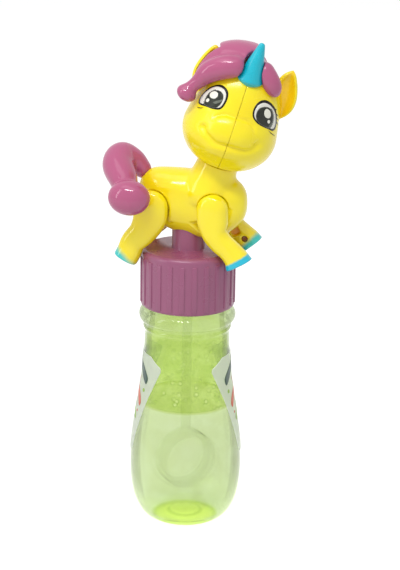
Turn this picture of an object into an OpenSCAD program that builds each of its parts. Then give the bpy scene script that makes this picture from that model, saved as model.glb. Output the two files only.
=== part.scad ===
// Bubble bottle with a screw cap that carries a posable unicorn, and a ring wand that hangs from the cap.
// Millimetres, +Z up. The origin is the centre of the standing ring, and the unicorn's body faces +X.

/* [Bottle] */
// Widest diameter of the bottle
bottle_w = 45.2; // [40:0.2:56]
// Height of the bottle's mouth above the ground
bottle_h = 112; // [100:1:136]
// Thickness of the blown wall
bottle_wall = 0.9; // [0.6:0.1:1.1]
// How full the bottle is, as a share of the height to its mouth
fill_share = 0.4625; // [0.4:0.0025:0.68]

/* [Cap] */
// Diameter of the cap over its skirt, without the ribs
cap_w = 37.4; // [31.5:0.1:39]
// Height of the cap
cap_h = 23; // [19:0.5:28]
// Number of grip ribs
rib_count = 24; // [12:1:36]
// Diameter of the post that carries the figure
post_w = 13; // [10.6:0.1:15]

/* [Wand] */
// Outside diameter of the bubble ring
ring_w = 24.4; // [20:0.2:25.8]
// Length of the ring along its own axis
ring_l = 7; // [5:0.5:8.5]
// How far the ring is turned about the bottle's axis, in degrees
ring_turn = 40; // [0:5:90]
// Diameter of the wand's stem
stem_w = 4; // [3:0.1:4.8]

/* [Labels] */
// Width of each label, measured straight across its wide upper end
label_w = 29; // [22:0.5:30]
// Height of each label
label_h = 42; // [34:1:48]
// Direction that the first label faces, in degrees from -X
label_turn = 14; // [0:1:40]

/* [Figure] */
// Height of the figure from the top of the cap to the top of the mane
figure_h = 84; // [70:1:85]
// How far the neck leans forward, in degrees
neck_lean = 18; // [12:0.5:19]
// Where the head looks at rest, in degrees from straight ahead
head_turn = -78; // [-90:1:90]
// How far the left front leg is raised at rest, in degrees
raised_leg = 4; // [0:1:12]
// Width of the body
body_w = 18.4; // [16:0.2:22]
// Width of the head across its cheeks
head_w = 37.6; // [33:0.2:40]
// Length of the horn
horn_l = 15; // [12:0.5:20]

/* [Hidden] */
$fn = 64;

purple = [0.65, 0.41, 0.52];
pink = [0.82, 0.46, 0.6];
yellow = [0.98, 0.92, 0.22];
cyan = [0.09, 0.71, 0.77];
clear = [0.9, 0.95, 0.85, 0.35];
green = [0.7, 0.8, 0.35, 0.8];
natural = [0.93, 0.94, 0.88];
paper = [0.97, 0.97, 0.95];

// Gaps: a running fit, a pressed fit, and free air between pieces that pass each other
run_gap = 0.05;
press_gap = 0.03;
air = 0.3;
// Wall of the hollow figure
shell = 1.5;

bottle_r = bottle_w / 2;
cap_r = cap_w / 2;
cap_wall = 1.5;
cap_plate = 1.8;
liner_t = 1.2;
cap_top = bottle_h + liner_t + cap_plate;
cap_foot = cap_top - cap_h;
neck_r = cap_r - cap_wall - 0.9;
neck_bore = neck_r - 1.5;
bead_z = cap_foot - 4.3;
shoulder_z = bead_z - 7.4;
waist_r = neck_r + 0.7;
standing_r = 0.553 * bottle_r;
fill_z = fill_share * bottle_h;

ring_r = ring_w / 2;
ring_wall = 2.4;
stem_top = cap_top + 6;
ring_z = ring_r + 12.8;
well_r = norm([ring_r, ring_l / 2]) + 2 * air;

figure_scale = figure_h / 84;
body_half = body_w / 2;
cheek = head_w / 37.6;
leg_plane = 10.6;
leg_seat = 6.4;
peg_r = 2;
peg_head_r = 2.8;
pin_r = 3.2;
pin_flange_r = 5.2;
neck_top_r = 8.1;
neck_at = [11.4, 0, 35];
shoulder_at = [12.2, 18.9];
hip_at = [-12.7, 18];
front_swing = 50;
front_room = 6.6;
rear_room = 7.2;
rear_swing = 35;
tail_peg_r = 2.2;
tail_at = [-17.2, 0, 29];
tail_pitch = -48;
horn_r = 5.2;
horn_at = [8.2, 0.4, 38.6];
horn_tip_r = 1.3;

// Smooth curve through knots, each a list of [station, value, value, ...]
function knot_before(k, x, i = 0) = i >= len(k) - 2 || x < k[i + 1][0] ? i : knot_before(k, x, i + 1);
function knot_slope(k, i, c) =
    let (lo = max(i - 1, 0), hi = min(i + 1, len(k) - 1))
    (k[hi][c] - k[lo][c]) / (k[hi][0] - k[lo][0]);
function on_curve(k, x, c = 1) =
    let (
        i = knot_before(k, x),
        gap = k[i + 1][0] - k[i][0],
        t = (x - k[i][0]) / gap,
        rise = k[i + 1][c] - k[i][c],
        a = knot_slope(k, i, c) * gap,
        b = knot_slope(k, i + 1, c) * gap
    )
    k[i][c] + t * a + t ^ 2 * (3 * rise - 2 * a - b) + t ^ 3 * (a + b - 2 * rise);

// Point on a rounded square-ish ring of unit size, n = 2 for an ellipse
function ring_x(angle, n) = sign(cos(angle)) * abs(cos(angle)) ^ (2 / n);
function ring_y(angle, n) = sign(sin(angle)) * abs(sin(angle)) ^ (2 / n);
// Share of full width at u from -1 to 1 along a rounded solid
function swell(u, n) = max(1 - abs(u) ^ n, 0) ^ (1 / n);
// Share of full width at a distance s from a round end of radius c
function round_end(s, c) = s >= c ? 1 : sqrt(max(1 - (1 - s / c) ^ 2, 0.01));

// Closed solid through rings that all have the same number of points, whichever way the rings run
function total(list, i = 0) = i == len(list) - 1 ? list[i] : list[i] + total(list, i + 1);
function runs_forward(rings) =
    let (ring = rings[1], n = len(ring))
    total([for (i = [0 : n - 1]) cross(ring[i], ring[(i + 1) % n])]) * (total(rings[2]) - total(rings[0])) > 0;
function reversed(list) = [for (i = [len(list) - 1 : -1 : 0]) list[i]];

module skin(rings) {
    n = len(rings[0]);
    m = len(rings);
    points = [for (r = rings) each r];
    sides = [
        for (j = [0 : m - 2], i = [0 : n - 1])
            let (a = j * n + i, b = j * n + (i + 1) % n)
            each [[a, a + n, b], [b, a + n, b + n]]
    ];
    first = [for (i = [0 : n - 1]) i];
    last = [for (i = [n - 1 : -1 : 0]) (m - 1) * n + i];
    faces = concat(sides, [first, last]);
    polyhedron(points, runs_forward(rings) ? faces : [for (f = faces) reversed(f)]);
}

// One faceted solid out of several
module blend() {
    resize([0, 0, 0]) union() children();
}

module figure() {
    translate([0, 0, cap_top]) scale(figure_scale) children();
}

module in_neck() {
    translate(neck_at) rotate([0, neck_lean, 0]) children();
}

module in_head() {
    in_neck() rotate([0, 0, head_turn]) children();
}

module tail_frame() {
    translate(tail_at) rotate([0, tail_pitch, 0]) children();
}

// Bottle

bottle_knots = [
    [0, standing_r],
    [0.027 * shoulder_z, 0.73 * bottle_r],
    [0.075 * shoulder_z, 0.86 * bottle_r],
    [0.15 * shoulder_z, 0.956 * bottle_r],
    [0.28 * shoulder_z, bottle_r],
    [0.425 * shoulder_z, 0.975 * bottle_r],
    [0.6 * shoulder_z, 0.45 * waist_r + 0.55 * bottle_r],
    [0.78 * shoulder_z, 0.83 * waist_r + 0.17 * bottle_r],
    [shoulder_z, waist_r]
];
bead_bulge = 3;
push_up = 3.2;

function side_r(z) = on_curve(bottle_knots, z);
function inner_r(z) = side_r(z) - bottle_wall;
function push_up_z(r) = push_up * (1 - (r / (standing_r - 2)) ^ 2);
side_steps = 24;
side_heights = [for (i = [0 : side_steps]) shoulder_z * (i / side_steps) ^ 1.5];
bead_points = [
    for (a = [-70 : 15 : 80])
        [waist_r - 0.6 + bead_bulge * cos(a), bead_z + (bead_bulge + 0.2) * sin(a)]
];
seam_ring = [
    [waist_r, bead_z - 5.9],
    [waist_r + 0.7, bead_z - 5.2],
    [waist_r + 0.7, bead_z - 4.6],
    [waist_r + 0.2, bead_z - 4]
];

module bottle() {
    outer = concat(
        [for (r = [0 : 4]) [r / 4 * (standing_r - 2), push_up_z(r / 4 * (standing_r - 2))]],
        [for (z = side_heights) [side_r(z), z]],
        seam_ring,
        bead_points,
        [[neck_r, bead_z + 3.6], [neck_r, bottle_h]]
    );
    inner = concat(
        [[neck_bore, bottle_h], [neck_bore, bead_z - 3]],
        [for (i = [side_steps : -1 : 0]) if (side_heights[i] > 2) [inner_r(side_heights[i]), side_heights[i]]],
        [for (r = [4 : -1 : 0]) [r / 4 * (standing_r - 2), push_up_z(r / 4 * (standing_r - 2)) + bottle_wall]]
    );
    color(clear) rotate_extrude() polygon(concat(outer, inner));
}

module bubble_solution() {
    floor_z = push_up + bottle_wall + 0.15;
    well_z = ring_z - ring_r - 2 * air;
    wall = [for (z = side_heights) if (z > floor_z && z < fill_z) [inner_r(z) - 0.15, z]];
    profile = concat(
        [[0, floor_z], [inner_r(floor_z) - 0.15, floor_z]],
        wall,
        [[inner_r(fill_z) - 0.15, fill_z], [well_r, fill_z], [well_r, well_z], [0, well_z]]
    );
    color(green) rotate_extrude() polygon(profile);
}

// A label is a shield: straight on top, cut off at its upper corners and narrowing towards its foot
module label(turn) {
    top = 0.9 * shoulder_z;
    thick = 0.25;
    heights = [for (i = [0 : 14]) top - label_h - 1 + (label_h + 4) * i / 14];
    band = concat(
        [for (z = heights) [side_r(z) + 0.05, z]],
        [for (i = [14 : -1 : 0]) [side_r(heights[i]) + 0.05 + thick, heights[i]]]
    );
    half = label_w / 2;
    shield = [
        [-0.7 * half, top],
        [0.7 * half, top],
        [0.98 * half, top - 3.6],
        [half, top - 5],
        [0.42 * half, top - label_h + 1.5],
        [0.3 * half, top - label_h],
        [-0.3 * half, top - label_h],
        [-0.42 * half, top - label_h + 1.5],
        [-half, top - 5],
        [-0.98 * half, top - 3.6]
    ];
    color(paper)
        rotate([0, 0, turn])
            intersection() {
                rotate([0, 0, -62]) rotate_extrude(angle = 124) polygon(band);
                rotate([90, 0, 90]) linear_extrude(bottle_r * 2) polygon(shield);
            }
}

module right_label() {
    label(180 + label_turn);
}

module left_label() {
    label(label_turn);
}

// Cap and wand

module screw_cap() {
    round_r = 2;
    rib_r = 0.6;
    rib_top = cap_top - 2.4;
    socket_foot = cap_top - cap_plate - 6.5;
    edge = [for (a = [0 : 15 : 90]) [cap_r - round_r * (1 - cos(a)), cap_top - round_r * (1 - sin(a))]];
    section = concat(
        [[cap_r - cap_wall, cap_foot], [cap_r, cap_foot]],
        edge,
        [[0, cap_top], [0, cap_top - cap_plate], [cap_r - cap_wall, cap_top - cap_plate]]
    );
    color(purple)
        difference() {
            union() {
                rotate_extrude() polygon(section);
                translate([0, 0, cap_top - 1]) cylinder(d = post_w, h = 12.9 * figure_scale);
                translate([0, 0, socket_foot]) cylinder(r = stem_w / 2 + 1.8, h = cap_plate + 6);
                for (i = [0 : rib_count - 1])
                    rotate([0, 0, (i + 0.5) * 360 / rib_count])
                        translate([cap_r - 0.2, 0, cap_foot + 1])
                            cylinder(r = rib_r, h = rib_top - cap_foot - 1, $fn = 24);
            }
            translate([0, 0, socket_foot - 1])
                cylinder(d = stem_w + 2 * press_gap, h = stem_top + press_gap - socket_foot + 1);
        }
}

module cap_liner() {
    color(natural)
        translate([0, 0, bottle_h])
            difference() {
                cylinder(r = cap_r - cap_wall - 0.15, h = liner_t);
                translate([0, 0, -1]) cylinder(r = stem_w / 2 + 2.1, h = liner_t + 2);
            }
}

module bubble_wand() {
    half = ring_l / 2;
    rim = [
        [ring_r - ring_wall, -half],
        [ring_r - 0.6, -half],
        [ring_r, 0.6 - half],
        [ring_r, half - 0.6],
        [ring_r - 0.6, half],
        [ring_r - ring_wall, half]
    ];
    color(natural) {
        translate([0, 0, ring_z]) rotate([90, 0, ring_turn]) rotate_extrude() polygon(rim);
        translate([0, 0, ring_z + ring_r - ring_wall / 2])
            cylinder(d = stem_w, h = stem_top - ring_z - ring_r + ring_wall / 2);
    }
}

// Body: stations along X with the centre height, the reach up and down, and the share of full width

body_mid = 1.6;
body_reach = 21.7;
body_knots = [
    [-20.2, 20.6, 15.4, 11.6, 0.96],
    [-10, 20.2, 12.6, 12.3, 0.98],
    [0, 19.2, 12.8, 13.2, 1],
    [10, 18.6, 13, 13.8, 1],
    [23.4, 19.4, 13, 12, 0.9]
];
neck_knots = [
    [-16, 10.5],
    [-10, 10.5],
    [-5, 9],
    [0.6, neck_top_r]
];

// Rings of the right half, or of the whole body, grown by g all round
function body_rings(g = 0, sweep = 180) = [
    for (f = [-80 : 10 : 80])
        let (
            x = body_mid + (body_reach + g) * sin(f),
            s = swell(sin(f), 2.7),
            zc = on_curve(body_knots, x, 1),
            up = on_curve(body_knots, x, 2) * s + g,
            down = on_curve(body_knots, x, 3) * s + g,
            side = on_curve(body_knots, x, 4) * s * body_half + g
        )
        [
            for (i = [0 : sweep == 180 ? 14 : 27])
                let (a = i * 180 / 14, reach = cos(a) > 0 ? up : down)
                [x, i % 14 == 0 ? 0 : -side * ring_y(a, 2.3), zc + reach * ring_x(a, 2.3)]
        ]
];

function neck_rings() = [
    for (w = [-16 : 2.766 : 0.6])
        let (r = on_curve(neck_knots, w))
        [for (i = [0 : 14]) [r * cos(i * 180 / 14), i % 14 == 0 ? 0 : -r * sin(i * 180 / 14), w]]
];

// Where a leg turns at the side of the body
module leg_room(at, half, swing, wall = 0) {
    for (step = [0 : 2])
        translate([at[0], wall - leg_seat, at[1]])
            rotate([90, -sign(swing) * 8 - step * swing / 2, 0])
                translate([-half, -40, 0])
                    cube([2 * half, 40, 30]);
    translate([at[0], wall - leg_seat, at[1]]) rotate([90, 0, 0]) cylinder(r = half, h = 30, $fn = 40);
}

// The hollow inside, less the bosses that hold the pegs, the post, the neck's pin and the tail
module body_hollow() {
    difference() {
        skin(body_rings(-shell, 360));
        leg_room(shoulder_at, front_room + shell, front_swing, shell);
        leg_room(hip_at, rear_room + shell, -rear_swing, shell);
        for (at = [shoulder_at, hip_at])
            translate([at[0], 5, at[1]]) rotate([90, 0, 0]) cylinder(r = peg_head_r + 2, h = 20, $fn = 40);
        cylinder(d = post_w / figure_scale + 3, h = 13.5, $fn = 48);
        in_neck() translate([0, 0, -12.7]) cylinder(r = pin_flange_r + 1.6, h = 30, $fn = 48);
        tail_frame() translate([0, 0, -6]) cylinder(r = tail_peg_r + 1.4, h = 20, $fn = 32);
    }
}

module peg_bore(at) {
    translate([at[0], 1, at[1]]) rotate([90, 0, 0]) cylinder(r = peg_r + run_gap, h = 20);
    translate([at[0], 1, at[1]]) rotate([90, 0, 0]) cylinder(r = peg_head_r + 0.4, h = 3);
}

// The right half. The left half is its mirror image
module body_half() {
    difference() {
        blend() {
            difference() {
                union() {
                    skin(body_rings());
                    in_neck() skin(neck_rings());
                }
                leg_room(shoulder_at, front_room, front_swing);
                leg_room(hip_at, rear_room, -rear_swing);
                body_hollow();
            }
        }
        peg_bore(shoulder_at);
        peg_bore(hip_at);
        translate([0, 0, -1]) cylinder(d = post_w / figure_scale + 2 * press_gap, h = 13);
        in_neck() {
            translate([0, 0, -9.2]) cylinder(r = pin_r + run_gap, h = 20);
            translate([0, 0, -11.2]) cylinder(r = pin_flange_r + run_gap, h = 2.1);
        }
        tail_frame() translate([0, 0, -6]) cylinder(r = tail_peg_r + press_gap, h = 16);
    }
}

module body_right() {
    color(yellow) figure() body_half();
}

module body_left() {
    color(yellow) figure() mirror([0, 1, 0]) body_half();
}

// Tail: it springs from the rump, arches over and comes down beside the right hip to end in a ball.
// Stations along it with the centre's place and the radius
tail_knots = [
    [0, -16.4, 0, 28.4, 3.4],
    [3.3, -18.9, 0, 30.4, 3.7],
    [8.3, -22.7, 0, 33.8, 4.8],
    [13.1, -26.6, -2, 35.1, 6.4],
    [18.5, -27, -7, 33.2, 6.4],
    [26.3, -23.3, -13, 29.5, 5.7],
    [32, -20.8, -17, 26.6, 4.8],
    [36.6, -18.6, -20.4, 24.4, 4.6]
];
tail_steps = 18;
tail_ball_at = [-18.5, -21.2, 24.2];
tail_ball = [8.4, 6.3, 7];
function tail_point(s) = [for (c = [1 : 3]) on_curve(tail_knots, s, c)];
function unit(v) = v / norm(v);

module tail_bead(step) {
    s = step / tail_steps * tail_knots[len(tail_knots) - 1][0];
    translate(tail_point(s)) sphere(on_curve(tail_knots, s, 4), $fn = 20);
}

module tail() {
    color(pink)
        figure()
            union() {
                blend()
                    difference() {
                        union() {
                            for (step = [0 : tail_steps]) tail_bead(step);
                            translate(tail_ball_at) scale(tail_ball) sphere(1, $fn = 36);
                        }
                        skin(body_rings(0.15));
                        mirror([0, 1, 0]) skin(body_rings(0.15));
                    }
                tail_frame() translate([0, 0, -5.8]) cylinder(r = tail_peg_r, h = 10);
            }
}

// Head frame: X to the front of the face, Y to its left, Z along the neck
module neck_pin() {
    color(natural)
        figure()
            in_head() {
                translate([0, 0, -11.1]) cylinder(r = pin_flange_r, h = 1.8);
                translate([0, 0, -10]) cylinder(r = pin_r, h = 17);
                translate([0, 0, 5]) cylinder(r = pin_flange_r, h = 2);
            }
}

// Stations up the head with the half width, the reach to the front and the reach to the back
head_mid = 22.5;
head_reach = 23.5;
crown_reach = 20.8;
head_knots = [
    [-1, 23.2 * cheek, 21.3, 15],
    [5.5, 22 * cheek, 21.6, 15],
    [13, 20.3 * cheek, 21.2, 15.2],
    [20, 17.9 * cheek, 19.2, 15.8],
    [26, 16.7 * cheek, 16.4, 16.2],
    [46, 16.8 * cheek, 16.5, 16.6]
];

// Rings of the right half, or of the whole head, grown by g
function head_rings(g = 0, sweep = 180) = [
    for (f = [-82, each [-74 : 10 : 76], 82])
        let (
            w = head_mid + ((f < 0 ? head_reach : crown_reach) + g) * sin(f),
            s = cos(f),
            half = on_curve(head_knots, w, 1) * s + g,
            front = on_curve(head_knots, w, 2) * s + g,
            back = on_curve(head_knots, w, 3) * s + g
        )
        [
            for (i = [0 : sweep == 180 ? 16 : 31])
                let (a = i * 180 / 16, reach = cos(a) > 0 ? front : back)
                [reach * ring_x(a, 2.15), i % 16 == 0 ? 0 : -half * ring_y(a, 2.15), w]
        ]
];

module whole_head(g) {
    skin(head_rings(g, 360));
}

// The hollow inside, less the bosses that hold the neck's pin and the horn's peg
module head_hollow() {
    difference() {
        whole_head(-shell);
        translate([0, 0, -5]) cylinder(r = neck_top_r + 0.5, h = 14, $fn = 48);
        horn_frame() translate([0, 0, -5.5]) cylinder(r = 3.5, h = 20, $fn = 32);
    }
}

// Stations up the right ear with its inner and outer edge and its half thickness
ear_knots = [
    [24.2, -14, -16.8, 1.5],
    [28.5, -12.5, -20.1, 2.8],
    [33, -11.6, -20.9, 3.2],
    [37.5, -11, -20, 3],
    [41.5, -12, -18.4, 2.2],
    [45.2, -14.9, -16.4, 0.5]
];
ear_foot = ear_knots[0][0];
ear_tall = ear_knots[5][0] - ear_foot;

function ear_rings(shrink, shift) = [
    for (i = [0 : 8])
        let (
            w = ear_foot + shrink + (ear_tall - 2 * shrink) * i / 8,
            inner = on_curve(ear_knots, w, 1) - shrink,
            outer = on_curve(ear_knots, w, 2) + shrink,
            thick = on_curve(ear_knots, w, 3)
        )
        [
            for (a = [0 : 30 : 330])
                [-1 + shift + thick * sin(a), (inner + outer) / 2 + (inner - outer) / 2 * cos(a), w]
        ]
];

module head_shell() {
    blend()
        difference() {
            union() {
                skin(head_rings());
                difference() {
                    skin(ear_rings(0, 0));
                    skin(ear_rings(1.1, 2.2));
                }
            }
            translate([0, 0, -5]) cylinder(r = neck_top_r + 0.5, h = 5.9);
            head_hollow();
        }
}

// What the halves of the head close round: the neck's pin and the horn's peg
module head_sockets() {
    translate([0, 0, -5]) cylinder(r = pin_r + press_gap, h = 14);
    translate([0, 0, 5 - press_gap]) cylinder(r = pin_flange_r + press_gap, h = 2.1);
    horn_peg(press_gap);
}

module head_right() {
    color(yellow)
        figure()
            in_head()
                difference() {
                    head_shell();
                    head_sockets();
                }
}

module head_left() {
    color(yellow)
        figure()
            in_head()
                difference() {
                    mirror([0, 1, 0]) head_shell();
                    head_sockets();
                }
}

// Horn: a plain cone with a round tip and a chamfered foot, on a peg that the halves of the head hold
module horn_frame() {
    translate(horn_at) rotate([0, 2, 0]) children();
}

module horn_peg(gap) {
    horn_frame() translate([0, 0, -4 - gap]) cylinder(r = 2 + gap, h = 8);
}

module horn() {
    tip = [for (a = [15 : 15 : 90]) [horn_tip_r * cos(a), horn_l - horn_tip_r * (1 - sin(a))]];
    color(cyan)
        figure()
            in_head() {
                blend()
                    difference() {
                        horn_frame()
                            rotate_extrude($fn = 40)
                                polygon(concat([[0, -3], [2.6, -3], [horn_r - 0.4, -0.8], [horn_r, 0]], tip));
                        whole_head(0.1);
                    }
                horn_peg(0);
            }
}

// Mane: a cap of hair on top of the head, parted in the middle, and a fall of hair behind.
// For the right and for the left: reach to the side, height of the foot, height of the top, and fullness
right_hair = [20.6, 29.5, 50.4, 2.4];
left_hair = [12.8, 31, 47.2, 1.5];
hair_front = 13.6;
hair_back = 17.6;

// Rings of the cap of hair on the right of the parting
function hair_rings(k) = [
    for (f = [0, each [8 : 10 : 78], 84])
        let (s = cos(f) ^ (2 / k[3]), w = k[1] + (k[2] - k[1]) * sin(f) ^ (2 / k[3]))
        [
            for (i = [0 : 14])
                let (a = i * 180 / 14)
                [(a < 90 ? hair_front : hair_back) * s * cos(a), -k[0] * s * sin(a) - 0.05, w]
        ]
];

// A lock of hair: stations along it with the centre's place and the half width
right_lock = [
    [0, 9, -2.5, 42.6, 4.2],
    [6, 9.4, -8.2, 41.3, 4.6],
    [10.5, 8.8, -12, 39, 4.6],
    [15, 8, -15.4, 35.8, 4.2],
    [20, 7.4, -18.2, 30.4, 3],
    [23.4, 7.4, -20, 27.4, 3.6],
    [29, 7.5, -21.6, 22.2, 4.5]
];
left_lock = [
    [0, 8, -2.5, 43.6, 3.2],
    [5, 8.6, -7, 41, 3.3],
    [9.4, 8, -10.4, 38.2, 3],
    [13.2, 6.6, -12.4, 35.4, 1.9]
];

function lock_stations(end) =
    concat([for (i = [0 : 12]) (end - 4) * i / 12], [for (a = [18 : 18 : 90]) end - 4 * (1 - sin(a))]);
function lock_point(k, s) = [for (c = [1 : 3]) on_curve(k, s, c)];
function lock_ring(k, s) =
    let (
        end = k[len(k) - 1][0],
        d = unit(lock_point(k, s + 0.2) - lock_point(k, s - 0.2)),
        across = unit(cross(d, [1, 0, 0.1])),
        over = cross(across, d),
        r = on_curve(k, s, 4) * round_end(end - s, 4) * round_end(s + 0.3, 4)
    )
    [for (a = [0 : 30 : 330]) lock_point(k, s) + r * (cos(a) * across + sin(a) * over)];

// Hair on the right of the parting, trimmed to a slanting edge above the lock
module hair(cap, lock) {
    end = lock[len(lock) - 1][0];
    difference() {
        union() {
            difference() {
                skin(hair_rings(cap));
                multmatrix([[1, 0, 0, 0], [0, 1, 0, 0], [0.47, 0.47, 1, 0]])
                    translate([-40, -40, -42.7])
                        cube([80, 80, 80]);
            }
            skin([for (s = lock_stations(end)) lock_ring(lock, s)]);
        }
        translate([-42.8, -40, -20]) cube([40, 80, 100]);
        translate([-40, -0.05, -20]) cube([80, 60, 100]);
        translate([-10, -40, -20]) cube([12.6, 28.2, 65.6]);
        skin(ear_rings(-0.3, 0));
    }
}

// What the hair lies on: the head and the horn
module hair_seat() {
    whole_head(0.12);
    horn_frame() translate([0, 0, -3]) cylinder(r1 = horn_r + 0.9, r2 = 1.2, h = horn_l + 3, $fn = 32);
}

module mane_right() {
    color(pink)
        figure()
            in_head()
                blend()
                    difference() {
                        hair(right_hair, right_lock);
                        hair_seat();
                    }
}

module mane_left() {
    color(pink)
        figure()
            in_head()
                blend()
                    difference() {
                        mirror([0, 1, 0]) hair(left_hair, left_lock);
                        hair_seat();
                    }
}

// Stations up the fall of hair with its half width, its reach to the back and how far it lies to the left
fall_knots = [
    [-2.8, 7.6, 15.2, 4.4],
    [4, 10.5, 17.4, 3],
    [18, 14, 19, 0],
    [34, 14, 19.2, -0.5],
    [40, 11.4, 16.6, -3],
    [45, 8.4, 12.6, -4],
    [49.4, 2.4, 5, -4]
];

module mane_back() {
    steps = 16;
    rings = [
        for (j = [0 : steps])
            let (
                w = -2.8 + 52.2 * j / steps,
                half = on_curve(fall_knots, w, 1),
                back = on_curve(fall_knots, w, 2),
                left = on_curve(fall_knots, w, 3)
            )
            [for (i = [0 : 20]) let (a = 90 + i * 9) [-3 + (back - 3) * cos(a), left + half * sin(a), w]]
    ];
    color(pink)
        figure()
            in_head()
                blend()
                    difference() {
                        skin(rings);
                        whole_head(0.12);
                        skin(ear_rings(-0.3, 0));
                        mirror([0, 1, 0]) skin(ear_rings(-0.3, 0));
                        translate([0, 0, -9]) cylinder(r = neck_top_r + 1.6, h = 12, $fn = 40);
                    }
}

// Legs: stations down the leg with the centre's place, the half width along X-Z and the half width along Y
front_knots = [
    [0, 12.2, 25.1, 6.2, 3.9],
    [6.2, 12.2, 18.9, 6.2, 3.9],
    [11, 12.4, 14, 6.1, 3.9],
    [15.5, 13.3, 9.6, 5.1, 3.9],
    [19.5, 15.8, 6.2, 4.6, 3.7],
    [23.5, 18.9, 3.6, 4.4, 3.6],
    [27.8, 21.8, 0.5, 4.8, 3.9],
    [31, 23.4, -2.3, 5.7, 4.2]
];
// The left one is a little shorter below the knee
short_knots = [
    each [for (i = [0 : 3]) front_knots[i]],
    [19.5, 15.8, 6.2, 4.6, 3.7],
    [23.5, 18.9, 3.6, 4.4, 3.6],
    [26.6, 21.1, 1.5, 4.5, 3.8],
    [29.2, 22.6, -0.6, 4.7, 4.2]
];
rear_knots = [
    [0, -12.7, 24.8, 6.8, 3.5],
    [6.8, -12.7, 18, 6.8, 3.5],
    [11.5, -13.2, 13.2, 6.7, 3.5],
    [16.4, -15.8, 8, 5.6, 3.6],
    [21.5, -19.7, 3.6, 4.9, 3.6],
    [25.6, -21.2, -0.2, 4.9, 3.7],
    [29.3, -22.9, -3.6, 4.9, 3.9]
];

function leg_place(k, s) = [for (c = [1 : 2]) on_curve(k, s, c)];
function leg_ring(k, s, cap_end) =
    let (
        d = unit(leg_place(k, s + 0.1) - leg_place(k, s - 0.1)),
        at = leg_place(k, s),
        r = on_curve(k, s, 3) * cap_end,
        side = on_curve(k, s, 4) * cap_end ^ 0.5
    )
    [
        for (a = [0 : 22.5 : 350])
            let (p = r * ring_x(a, 2.5), q = side * ring_y(a, 2.5))
            [at[0] + p * d[1], -leg_plane + q, at[1] - p * d[0]]
    ];

// A right leg with its peg. The recess and the round hole are in the face that meets the body
module leg(k, at) {
    end = k[len(k) - 1][0];
    top = k[1][0];
    stations = [0.15, 0.7, 1.7, 3.2, each [5 : 2 : end - 1.5], end - 0.6];
    union() {
        blend()
            difference() {
                union() {
                    skin(concat(
                        [for (s = stations) leg_ring(k, s, round_end(s, top))],
                        [leg_ring(k, end, 0.93)]
                    ));
                    translate([at[0], -leg_seat - air, at[1]])
                        rotate([90, 0, 0]) cylinder(r = 5.4, h = 3, $fn = 40);
                }
                leg_hollow(k, 0.69 * end, 1.8, 4);
                leg_hollow(k, 0.84 * end, 1.2, 20);
            }
        translate([at[0], -leg_seat - 2, at[1]]) rotate([-90, 0, 0]) cylinder(r = peg_r, h = leg_seat + 1.4);
        translate([at[0], -1.6, at[1]]) rotate([-90, 0, 0]) cylinder(r = peg_head_r, h = 1.2);
    }
}

module leg_hollow(k, s, r, sides) {
    at = leg_place(k, s);
    translate([at[0], -leg_plane + 2, at[1]])
        rotate([-90, 0, 0]) rotate([0, 0, 20]) cylinder(r = r * (sides == 4 ? 1.41 : 1), h = 10, $fn = sides);
}

module front_leg_right() {
    color(yellow) figure() leg(front_knots, shoulder_at);
}

module front_leg_left() {
    color(yellow)
        figure()
            mirror([0, 1, 0])
                translate([shoulder_at[0], 0, shoulder_at[1]])
                    rotate([0, -raised_leg, 0])
                        translate([-shoulder_at[0], 0, -shoulder_at[1]])
                            leg(short_knots, shoulder_at);
}

module rear_leg_right() {
    color(yellow) figure() leg(rear_knots, hip_at);
}

module rear_leg_left() {
    color(yellow) figure() mirror([0, 1, 0]) leg(rear_knots, hip_at);
}

bottle();
bubble_solution();
right_label();
left_label();
screw_cap();
cap_liner();
bubble_wand();
body_right();
body_left();
tail();
neck_pin();
head_right();
head_left();
mane_right();
mane_left();
mane_back();
horn();
front_leg_right();
front_leg_left();
rear_leg_right();
rear_leg_left();
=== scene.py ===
"""Looks of a bubble bottle whose screw cap carries a unicorn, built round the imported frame.

Shapes are written in millimetres and made in metres. The bottle stands on the origin with +Z up its axis, and
the unicorn's body faces +X. The head has a frame of its own: X out of the face, Y to its left, Z along the neck.
"""

import math

import bpy
import numpy as np
from mathutils import Matrix, Vector
from mathutils.bvhtree import BVHTree


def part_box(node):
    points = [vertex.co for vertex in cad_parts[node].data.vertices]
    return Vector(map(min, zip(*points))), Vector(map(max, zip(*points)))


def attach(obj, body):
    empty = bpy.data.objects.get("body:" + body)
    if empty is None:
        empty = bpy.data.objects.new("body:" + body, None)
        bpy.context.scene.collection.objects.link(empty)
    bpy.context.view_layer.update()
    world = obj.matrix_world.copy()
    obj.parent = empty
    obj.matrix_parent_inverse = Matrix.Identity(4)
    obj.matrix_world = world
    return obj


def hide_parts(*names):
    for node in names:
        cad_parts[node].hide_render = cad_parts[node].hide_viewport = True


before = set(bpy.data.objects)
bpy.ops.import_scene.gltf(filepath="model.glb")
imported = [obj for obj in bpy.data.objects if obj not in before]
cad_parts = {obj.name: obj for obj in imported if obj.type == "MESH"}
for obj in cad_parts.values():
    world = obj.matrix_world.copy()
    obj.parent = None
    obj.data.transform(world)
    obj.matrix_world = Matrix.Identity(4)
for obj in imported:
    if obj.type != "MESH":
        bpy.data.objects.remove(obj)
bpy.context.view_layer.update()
scene = bpy.context.scene

MM = 0.001
# Radius that stands for none in turned outlines
TIP = 0.005

# Heights and radii that the looks share with the frame
CAP_TOP, CAP_FOOT, CAP_R, CAP_WALL = 115.0, 92.0, 18.7, 1.5
MOUTH_Z, NECK_R, NECK_BORE = 112.0, 16.3, 14.8
BEAD_Z, SHOULDER_Z, WAIST_R = 87.7, 80.3, 17.0
BOTTLE_R, STANDING_R, WALL = 22.6, 12.5, 0.9
FILL_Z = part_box("bubble_solution")[1].z / MM

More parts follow.
